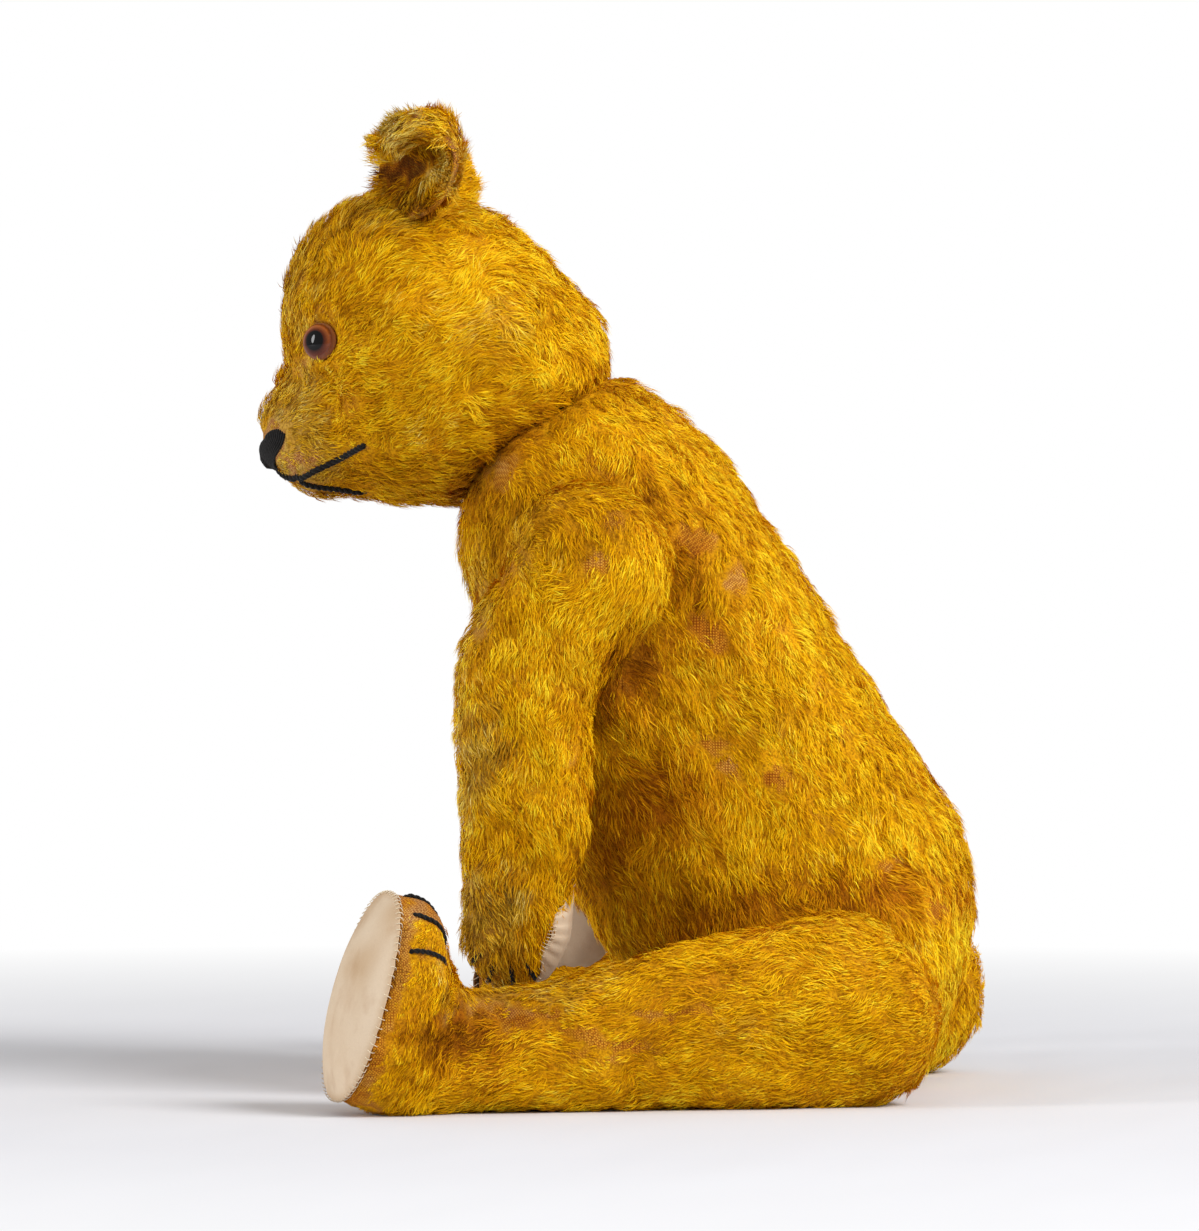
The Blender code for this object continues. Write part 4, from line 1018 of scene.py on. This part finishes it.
for side, word in ((1, "left"), (-1, "right")):
    tree = arm_trees[word]

    def felt_place(ball):
        share = np.hypot(ball[:, 0], ball[:, 1])
        angle = np.arctan2(ball[:, 1], ball[:, 0])
        start, ways = pad_rays(side, share, angle)
        gather = 0.45 * MM * np.cos(angle * 23) * fade(share, 0.62, 0.95)
        rise = 0.25 * MM + gather + FELT_THICK / 2 * (1 + ball[:, 2]) - 0.5 * MM
        return start + ways * (reach_of(tree, start, ways) + rise)[:, None]

    mesh, ball = moulded("paw_felt_" + word, 72, 30, felt_place)
    mark(mesh, "edge", 0.2 * fade(np.hypot(ball[:, 0], ball[:, 1]), 0.9, 1.0))
    pad = add("paw_felt_" + word, mesh, felt_finish, "arm_" + word)
    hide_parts("paw_pad_" + word)
    "arm_" + word
    lines = []
    for angle in np.linspace(0, 2 * pi, 56, endpoint=False):
        reach = radians(3.6) / pad_edge(angle)
        shares, angles = 1 + reach * np.array((-1, -0.3, 0.5, 1.2)), angle + np.array((0, 0.01, 0.03, 0.04))
        start, ways = pad_rays(side, shares, angles)
        rise = np.array((1.35, 1.5, 0.75, 0.15)) * MM
        lines.append(eased(start + ways * (reach_of(tree, start, ways) + rise)[:, None], 1))
    stitches = laid_threads("paw_stitches_" + word, lines, STITCH_RADIUS, sides=0)
    add("paw_stitches_" + word, stitches, whip_finish, "arm_" + word)


def off_pad(points, side):
    """How far points lie outside the paw pad's edge, along the cloth."""
    shoulder = JOINTS["shoulder_left" if side > 0 else "shoulder_right"][0]
    offset = points - (shoulder + PAD_MIDDLE * (side, 1, 1))
    far = np.linalg.norm(offset, axis=1)
    tilt = np.arccos(np.clip(-side * offset[:, 0] / far, -1, 1))
    return (tilt - pad_edge(np.arctan2(offset[:, 1], offset[:, 2]))) * far


# Hand claws: four long stitches of black thread over the front of each paw.
HAND_CLAW_ANGLES = [radians(a) for a in (50, 27, 4, -19)]  # forward of straight down
HAND_CLAW_TILTS = np.radians((52, 55, 60, 66, 72, 78, 81))  # from straight out
CLAW_PLY = 0.56 * MM
hand_claw_points = {}
for side, word in ((1, "left"), (-1, "right")):
    shoulder = JOINTS["shoulder_" + word][0]
    middle = shoulder + SHOULDER_FRONT * (side, 1, 1)
    lines = []
    for angle in HAND_CLAW_ANGLES:
        line = []
        for number, tilt in enumerate(HAND_CLAW_TILTS):
            outward = np.array((side * cos(tilt), -sin(tilt) * sin(angle), -sin(tilt) * cos(angle)))
            lift = -0.9 * MM if number in (0, len(HAND_CLAW_TILTS) - 1) else 0.6 * MM
            line.append(onto(arm_trees[word], middle + 0.2 * outward, -outward, lift))
        lines.append(eased(line, 1))
    hand_claw_points[word] = np.concatenate(lines)
    claws = laid_threads("hand_claw_threads_" + word, lines, CLAW_PLY, 2)
    claws = add("hand_claw_threads_" + word, claws, thread_finish, "arm_" + word)
    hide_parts("hand_claws_" + word)


def arm_keep(side, word):
    def keep(points, normals):
        from_pad = off_pad(points, side)
        from_claws = nearest(points, hand_claw_points[word])
        share = (from_pad > 0.6 * MM) & (from_claws > 1.3 * MM)
        longest = np.minimum(2.5 * MM + beyond(from_pad, 0, 0.6), 4.5 * MM + beyond(from_claws, 1 * MM, 0.8))
        return share * 1.0, longest
    return keep


for side, word in ((1, "left"), (-1, "right")):
    cover("arm_cover_" + word, arm_meshes[word], "arm_" + word, ["arm_" + word],
                             ARM_WEAR, arm_keep(side, word))


# Legs: long and straight with big flat feet, their hips round against the body. The measures
# are the leg's own: along it from the hip, up, and out of the joint's plane.
HIP = np.array((61.5, 84.5, 35.0)) * MM
SPLAY = radians(20)
LEG_BENDS = {1: 0.0, -1: 0.12}
LEG_BEND_FROM = 20 * MM
SOLE_ALONG = 179 * MM
SOLE_UPS = np.array((-30, 44.5)) * MM
SOLE_OUTS = np.array((7.5, 62.3)) * MM
SOLE_LEAN, SOLE_TURNED = -0.26, -0.14
SOLE_SQUARE = 2.3
SOLE_BULGE = 8.5 * MM
LEG_WEAR = (
    (675, 1012, 34, 6, -4, 0.85), (605, 1040, 46, 7, 12, 0.8), (520, 1018, 40, 7, -6, 0.85),
    (600, 1060, 30, 6, 10, 0.6), (865, 958, 18, 10, 0, 0.35), (740, 1090, 30, 7, 0, 0.3),
    (432, 902, 30, 17, 24, 1.0), (398, 985, 5, 60, 17, 0.8), (366, 1080, 9, 30, 30, 0.9),
    (360, 1100, 26, 6, 20, 0.8), (480, 1010, 40, 7, -8, 0.6),
)
leg_meshes = {}
leg_trees = {}
for word in ("left", "right"):
    leg_meshes[word] = shaped(stuffed("leg", ["leg_" + word], rounds=2), "leg_cover_" + word,
                              lambda p, n: p + n * lumps(p, 51)[:, None])
    leg_trees[word] = tree_of(leg_meshes[word])


def leg_places(side, along, up, out):
    """Places on a leg, from its own measures."""
    hip = JOINTS["hip_left" if side > 0 else "hip_right"][0]
    out = out + LEG_BENDS[side] * np.maximum(0, along - LEG_BEND_FROM)
    x = along * sin(SPLAY) + out * cos(SPLAY)
    y = -along * cos(SPLAY) + out * sin(SPLAY)
    return hip + np.stack([side * x, y, up + 0 * along], 1)


def leg_measures(points, side):
    """A leg's own measures of places on it."""
    offset = (points - JOINTS["hip_left" if side > 0 else "hip_right"][0]) * (side, 1, 1)
    along = offset[:, 0] * sin(SPLAY) - offset[:, 1] * cos(SPLAY)
    out = offset[:, 0] * cos(SPLAY) + offset[:, 1] * sin(SPLAY)
    return along, offset[:, 2], out - LEG_BENDS[side] * np.maximum(0, along - LEG_BEND_FROM)


def sole_places(side, share, angle, on, dome=1.0):
    """Places on the sole: a share of the way out to its rim, and so far proud of the leg's end."""
    up_middle, out_middle = SOLE_UPS.mean(), SOLE_OUTS.mean()
    c, s = np.cos(angle), np.sin(angle)
    up = share * (SOLE_UPS[1] - up_middle) * np.sign(c) * np.abs(c)**(2 / SOLE_SQUARE)
    out = share * (SOLE_OUTS[1] - out_middle) * np.sign(s) * np.abs(s)**(2 / SOLE_SQUARE)
    along = SOLE_ALONG + SOLE_LEAN * up + SOLE_TURNED * out + on + dome * SOLE_BULGE * (1 - share**2)
    return leg_places(side, along, up + up_middle, out + out_middle)


def off_sole(points, side):
    """How far behind the sole's rim points lie."""
    along, up, out = leg_measures(points, side)
    return SOLE_ALONG + SOLE_LEAN * (up - SOLE_UPS.mean()) + SOLE_TURNED * (out - SOLE_OUTS.mean()) - along


# Soles: cream felt over the flat end of each foot, whip-stitched all round and soiled where
# it has stood.
for side, word in ((1, "left"), (-1, "right")):
    def sole_place(ball):
        share = np.hypot(ball[:, 0], ball[:, 1])
        angle = np.arctan2(ball[:, 1], ball[:, 0])
        on = 0.3 * MM + FELT_THICK / 2 * (1 + ball[:, 2])
        flat = sole_places(side, share, angle, on)
        dent = MM * np.maximum(0.8 * waves(flat, 30 * MM, 61), -0.3) * (1 - share**2)
        pull = 0.25 * MM * np.cos(angle * 31) * fade(share, 0.8, 0.97)
        return sole_places(side, share, angle, on + dent + pull)

    mesh, ball = moulded("sole_felt_" + word, 72, 34, sole_place)
    mesh_points = points_of(mesh)
    mesh_points[:, 2] = np.maximum(mesh_points[:, 2], 0.2 * MM)
    mesh.vertices.foreach_set("co", mesh_points.astype(np.float32).ravel())
    handled = fade(mesh_points[:, 2], 20 * MM, 75 * MM) * (0.5 + 0.35 * waves(mesh_points, 22 * MM, 63))
    mark(mesh, "edge", np.maximum(handled, fade(np.hypot(ball[:, 0], ball[:, 1]), 0.9, 1.0)))
    sole = add("sole_felt_" + word, mesh, felt_finish, "leg_" + word)
    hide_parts("sole_pad_" + word)
    "leg_" + word
    lines = []
    for angle in np.linspace(0, 2 * pi, 78, endpoint=False):
        over = [sole_places(side, np.array((share,)), np.array((angle + lean,)), np.array((on,)) * MM)[0]
                for share, lean, on in ((0.982, 0, 2.3), (1.003, 0.01, 1.8), (1.008, 0.02, 0.8))]
        outside = sole_places(side, np.array((1.6,)), np.array((angle + 0.03,)), np.array((-0.2,)) * MM, 0)[0]
        inside = sole_places(side, np.array((0.2,)), np.array((angle + 0.03,)), np.array((-0.2,)) * MM, 0)[0]
        hit = leg_trees[word].ray_cast(Vector(outside), Vector(inside - outside).normalized())[0]
        if hit is not None:
            line = eased(over + [np.array(hit)], 1)
            line[:, 2] = np.maximum(line[:, 2], STITCH_RADIUS)
            lines.append(line)
    stitches = laid_threads("sole_stitches_" + word, lines, STITCH_RADIUS, sides=0)
    add("sole_stitches_" + word, stitches, whip_finish, "leg_" + word)

# Foot claws: four stitches of black thread over the top and outer side of each toe, all
# from just behind the sole.
FOOT_CLAW_ANGLES = [radians(a) for a in (36, 60, 86, 112)]  # up from the outer side
FOOT_CLAW_BACKS = np.array((4.0, 5.0, 8.5, 12.0, 15.5, 19.0, 20.0)) * MM
foot_claw_points = {}
for side, word in ((1, "left"), (-1, "right")):
    lines = []
    for angle in FOOT_CLAW_ANGLES:
        line = []
        for number, behind in enumerate(FOOT_CLAW_BACKS):
            up, out = 0.2 * sin(angle), 0.2 * cos(angle)
            along = SOLE_ALONG - behind
            ups, outs = SOLE_UPS.mean(), SOLE_OUTS.mean()
            middle = leg_places(side, np.array((along,)), np.array((ups,)), np.array((outs,)))[0]
            start = leg_places(side, np.array((along + SOLE_LEAN * up + SOLE_TURNED * out,)),
                               np.array((ups + up,)), np.array((outs + out,)))[0]
            lift = -0.9 * MM if number in (0, len(FOOT_CLAW_BACKS) - 1) else 0.6 * MM
            line.append(onto(leg_trees[word], start, middle - start, lift))
        lines.append(eased(line, 1))
    foot_claw_points[word] = np.concatenate(lines)
    claws = laid_threads("foot_claw_threads_" + word, lines, CLAW_PLY, 2)
    claws = add("foot_claw_threads_" + word, claws, thread_finish, "leg_" + word)
    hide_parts("foot_claws_" + word)


def leg_keep(side, word):
    def keep(points, normals):
        behind = off_sole(points, side)
        from_claws = nearest(points, foot_claw_points[word])
        share = (behind > 2.6 * MM) & (from_claws > 1.3 * MM)
        flat = points[:, 2] < 1.5 * MM
        longest = np.minimum(0.8 * MM + beyond(behind, 2 * MM, 0.35),
                             1.5 * MM + beyond(from_claws, 1 * MM, 0.7))
        return share * (1 - 0.3 * flat), np.where(flat, np.minimum(longest, CRUSHED_PILE), longest)
    return keep


for side, word in ((1, "left"), (-1, "right")):
    cover("leg_cover_" + word, leg_meshes[word], "leg_" + word, ["leg_" + word],
                             LEG_WEAR, leg_keep(side, word))


# Pile: mohair, 5 to 9 mm long, in small locks that lie over one another down the body. Each
# lock is a dozen flat fibres of two faces, which curve over from the root and draw together
# a little at the tip.
FIBRE_WIDE = 0.30 * MM
LOCK_FIBRES = 12
LOCK_RADIUS = 2.4 * MM
# Painted shade: the pile is darkened where two parts nearly touch, as shade falls in the crease between them
CREASE_PAINTED_SHADE = 0.3  # how much darker the pile is where two parts nearly touch
CROWDED = 0.7 * MM  # no pile grows where another part is nearer than this


def roots(mesh, count, draw):
    """Evenly spread points over a mesh, with the normals there."""
    mesh.calc_loop_triangles()
    points = points_of(mesh)
    normals = read(mesh.vertex_normals, "vector", 3).astype(float)
    corners = read(mesh.loop_triangles, "vertices", 3, np.int32)
    a, b, c = [points[corners[:, k]] for k in range(3)]
    total = np.cumsum(np.linalg.norm(np.cross(b - a, c - a), axis=1))
    picked = np.searchsorted(total, (np.arange(count) + draw.random(count)) / count * total[-1])
    picked = np.minimum(picked, len(corners) - 1)
    u, v = draw.random((2, count, 1))
    u, v = np.where(u + v > 1, 1 - u, u), np.where(u + v > 1, 1 - v, v)
    spread = [1 - u - v, u, v]
    at = sum(share * points[corners[picked, k]] for k, share in enumerate(spread))
    out = unit(sum(share * normals[corners[picked, k]] for k, share in enumerate(spread)))
    return at, out


def room_over(at, out, neighbours):
    """How much room there is over each point before another part's cover."""
    room = np.full(len(at), 1.0)
    for tree in neighbours:
        for k, (place, normal) in enumerate(zip(at, out)):
            spot, outward, _, near = tree.find_nearest(Vector(place + normal * 0.5 * MM), 16 * MM)
            if near is not None:
                room[k] = min(room[k], near if (Vector(place) - spot).dot(outward) > 0 else 0)
    return room


def grow(name, mesh, body, locks, flow, seed, length=7.5 * MM, wear=(), keep=None, neighbours=(),
         lay=0.16, wide=FIBRE_WIDE, parts=1, passing=0.72):
    """The pile of one cover. flow gives the way it lies, and keep how much of it is left and
    how long it may be."""
    draw = np.random.default_rng(seed)
    at, out = roots(mesh, locks, draw)
    worn = spots(at, wear)
    thin = 0.5 * fade(waves(at, 21 * MM, seed + 2), 0.5, 1.2)
    left = 1 - 0.94 * worn
    lie = flow(at, out)
    lie = unit(lie - (lie * out).sum(1)[:, None] * out)
    over = np.maximum(spots(at + 0.4 * length * lie, wear), spots(at + 0.85 * length * lie, wear))
    long = length * (1 - 0.5 * np.maximum(worn, thin)) * (1 - passing * over) * (1 + 0.12 * waves(at, 17 * MM, seed + 3))
    if keep is not None:
        share, longest = keep(at, out)
        left = left * share
        long = np.minimum(long, longest)
    picked = (draw.random(len(at)) < left) & (long > 0.9 * MM)
    at, out, worn, long = at[picked], out[picked], worn[picked], long[picked]
    gap = room_over(at, out, neighbours)
    picked = gap > CROWDED
    at, out, worn, long, gap = at[picked], out[picked], worn[picked], long[picked], gap[picked]
    lie = flow(at, out)
    for axis in range(3):
        lie[:, axis] += 0.28 * waves(at, 26 * MM, seed + 4 + axis) + 0.12 * waves(at, 8 * MM, seed + 8 + axis)
    lie = unit(lie - (lie * out).sum(1)[:, None] * out)
    beside = np.cross(out, lie)
    swing = 0.18 * draw.normal(size=len(at))
    lie = lie * np.cos(swing)[:, None] + beside * np.sin(swing)[:, None]
    beside = np.cross(out, lie)
    rise = np.clip(lay + 0.10 * waves(at, 12 * MM, seed + 12) + 0.05 * draw.normal(size=len(at)), 0.05, 0.8)
    rise = np.minimum(rise, gap / long * 0.5)
    long = np.minimum(long, np.maximum(gap * 1.3, 3 * MM))
    lock_tip = at + long[:, None] * (lie * 0.9 + out * rise[:, None])
    hue, light = tone(at)
    hue = hue - 0.25 * worn + 0.06 * draw.normal(size=len(at))
    light = light + 0.04 * draw.normal(size=len(at)) + 0.09 * waves(at, 9 * MM, seed + 14)
    # painted shade in the creases between parts
    light -= CREASE_PAINTED_SHADE * (1 - fade(gap, 4 * MM, 16 * MM))

    count = len(at) * LOCK_FIBRES
    one = np.repeat(np.arange(len(at)), LOCK_FIBRES)
    spread = LOCK_RADIUS * np.sqrt(draw.random(count)) * np.minimum(1, long[one] / (4 * MM))
    round_ = draw.uniform(0, 2 * pi, count)
    foot = at[one] + (spread * np.cos(round_))[:, None] * lie[one] + (spread * np.sin(round_))[:, None] * beside[one]
    foot -= 0.3 * MM * out[one]
    reach = long[one] * draw.uniform(0.62, 1.12, count)
    turn = 0.24 * draw.normal(size=count)
    way = lie[one] * np.cos(turn)[:, None] + beside[one] * np.sin(turn)[:, None]
    lift = np.clip(rise[one] * draw.uniform(0.6, 1.5, count), 0.03, 1.0)
    knee = foot + reach[:, None] * (0.42 * way + (0.20 + 0.40 * lift)[:, None] * out[one])
    tip = knee + reach[:, None] * (0.52 * way + (0.42 * lift - 0.08)[:, None] * out[one])
    draw_in = draw.uniform(0.0, 0.35, count)[:, None]
    tip = tip + (lock_tip[one] - tip) * draw_in
    along = unit(tip - foot)
    flat = unit(np.cross(along, out[one]))
    roll = 0.5 * draw.normal(size=count)
    flat = flat * np.cos(roll)[:, None] + np.cross(along, flat) * np.sin(roll)[:, None]
    flat *= (wide * draw.uniform(0.7, 1.3, count) / 2)[:, None]
    corners = np.stack([knee + flat, tip, knee - flat, foot], 1)
    corners[:, :, 2] = np.maximum(corners[:, :, 2], 0.25 * MM * draw.random((count, 1)) + 0.05 * MM)
    sheen = unit(out[one] + 0.32 * draw.normal(size=count)[:, None] * unit(flat) - 0.15 * way)

    shade = light[one] + 0.13 * draw.normal(size=count)
    across = np.clip(hue[one] + 0.05 * draw.normal(size=count), 0.0, 1.0)
    chart = np.empty((count, 4, 2))
    chart[:, :, 0] = across[:, None]
    chart[:, 0, 1] = chart[:, 2, 1] = shade
    chart[:, 1, 1] = shade * 1.1 + 0.03
    chart[:, 3, 1] = shade * 0.66
    chart = np.clip(chart, 0.005, 0.995)
    for number in range(parts):
        chosen = slice(number * count // parts, (number + 1) * count // parts)
        part_name = name if parts == 1 else name + "_" + "ab"[number]
        pile_piece(part_name, corners[chosen], chart[chosen], sheen[chosen], body)


def pile_piece(name, corners, chart, sheen, body):
    """Fibres of four corners each, as one mesh that is shaded as the pile's surface is."""
    count = len(corners)
    fur = bpy.data.meshes.new(name)
    fur.vertices.add(count * 4)
    fur.vertices.foreach_set("co", corners.astype(np.float32).ravel())
    fur.loops.add(count * 4)
    fur.loops.foreach_set("vertex_index", np.arange(count * 4, dtype=np.int32))
    fur.polygons.add(count)
    fur.polygons.foreach_set("loop_start", np.arange(0, count * 4, 4, dtype=np.int32))
    fur.update(calc_edges=True)
    layer = fur.uv_layers.new(name="OFBake")
    layer.data.foreach_set("uv", chart.astype(np.float32).ravel())
    fur.normals_split_custom_set_from_vertices(np.repeat(sheen, 4, axis=0).tolist())
    print(name, count)
    add(name, fur, pile_finish, body)


trees = {"torso": tree_of(torso_mesh), "head": head_tree}
for word in ("left", "right"):
    trees["arm_" + word] = arm_trees[word]
    trees["leg_" + word] = leg_trees[word]


def others(*names):
    return [trees[name] for name in names]


def torso_flow(points, normals):
    return np.tile([0.0, 0.42, -0.9], (len(points), 1))


def head_flow(points, normals):
    nose_tip = np.array(head_place @ NOSE_AT)
    away_from_nose = unit(points - nose_tip)
    back = fade(points[:, 1], -0.06, 0.02)[:, None]
    return away_from_nose * (1 - back) + back * np.array([0, 0.35, -0.9])


def arm_flow(points, normals):
    """Round the shoulder in a swirl, then down the arm."""
    shoulder = JOINTS["shoulder_left"][0] * (1, 1, 1)
    offset = points - shoulder
    swirl = np.stack([0 * offset[:, 0], -offset[:, 2], offset[:, 1]], 1) / (30 * MM)
    top = fade(offset[:, 2], -25 * MM, 5 * MM)[:, None]
    return (1 - top) * np.array([0.0, 0.12, -1.0]) + top * (-0.8 * swirl + np.array([0, 0, -0.5]))


def leg_flow(side):
    def flow(points, normals):
        along, up, out = leg_measures(points, side)
        foot = fade(along, 140 * MM, 160 * MM)[:, None]
        ahead = np.array([side * sin(SPLAY), -cos(SPLAY), -0.12])
        down = np.array([side * 0.1, -0.25, -0.95])
        return (1 - foot) * ahead + foot * (0.35 * ahead + down)
    return flow


def ear_flow(word):
    mesh, places, lie = ears[word]

    def flow(points, normals):
        picked = [int(np.argmin(((places - point)**2).sum(1))) for point in points]
        return lie[picked].copy()
    return flow


def ear_keep(points, normals):
    return np.ones(len(points)), np.full(len(points), 8 * MM)


grow("torso_pile", torso_mesh, "torso", 12450, torso_flow, 101, 7.8 * MM, TORSO_WEAR, torso_keep,
     others("head", "arm_left", "arm_right", "leg_left", "leg_right"), parts=2)
grow("head_pile", head_mesh, "head", 6600, head_flow, 201, 7.6 * MM, HEAD_WEAR, head_keep, others("torso"))
for number, (side, word) in enumerate(((1, "left"), (-1, "right"))):
    grow("arm_pile_" + word, arm_meshes[word], "arm_" + word, 3800, arm_flow, 301 + 20 * number,
         7.2 * MM, ARM_WEAR, arm_keep(side, word), others("torso", "leg_" + word))
    grow("leg_pile_" + word, leg_meshes[word], "leg_" + word, 5200, leg_flow(side), 401 + 20 * number,
         6.4 * MM, LEG_WEAR, leg_keep(side, word), others("torso", "arm_" + word))
    grow("ear_pile_" + word, ears[word][0], "head", 1250, ear_flow(word), 501 + 20 * number,
         7.6 * MM, EAR_WEAR, ear_keep, others("head"), lay=0.34, passing=0.1)
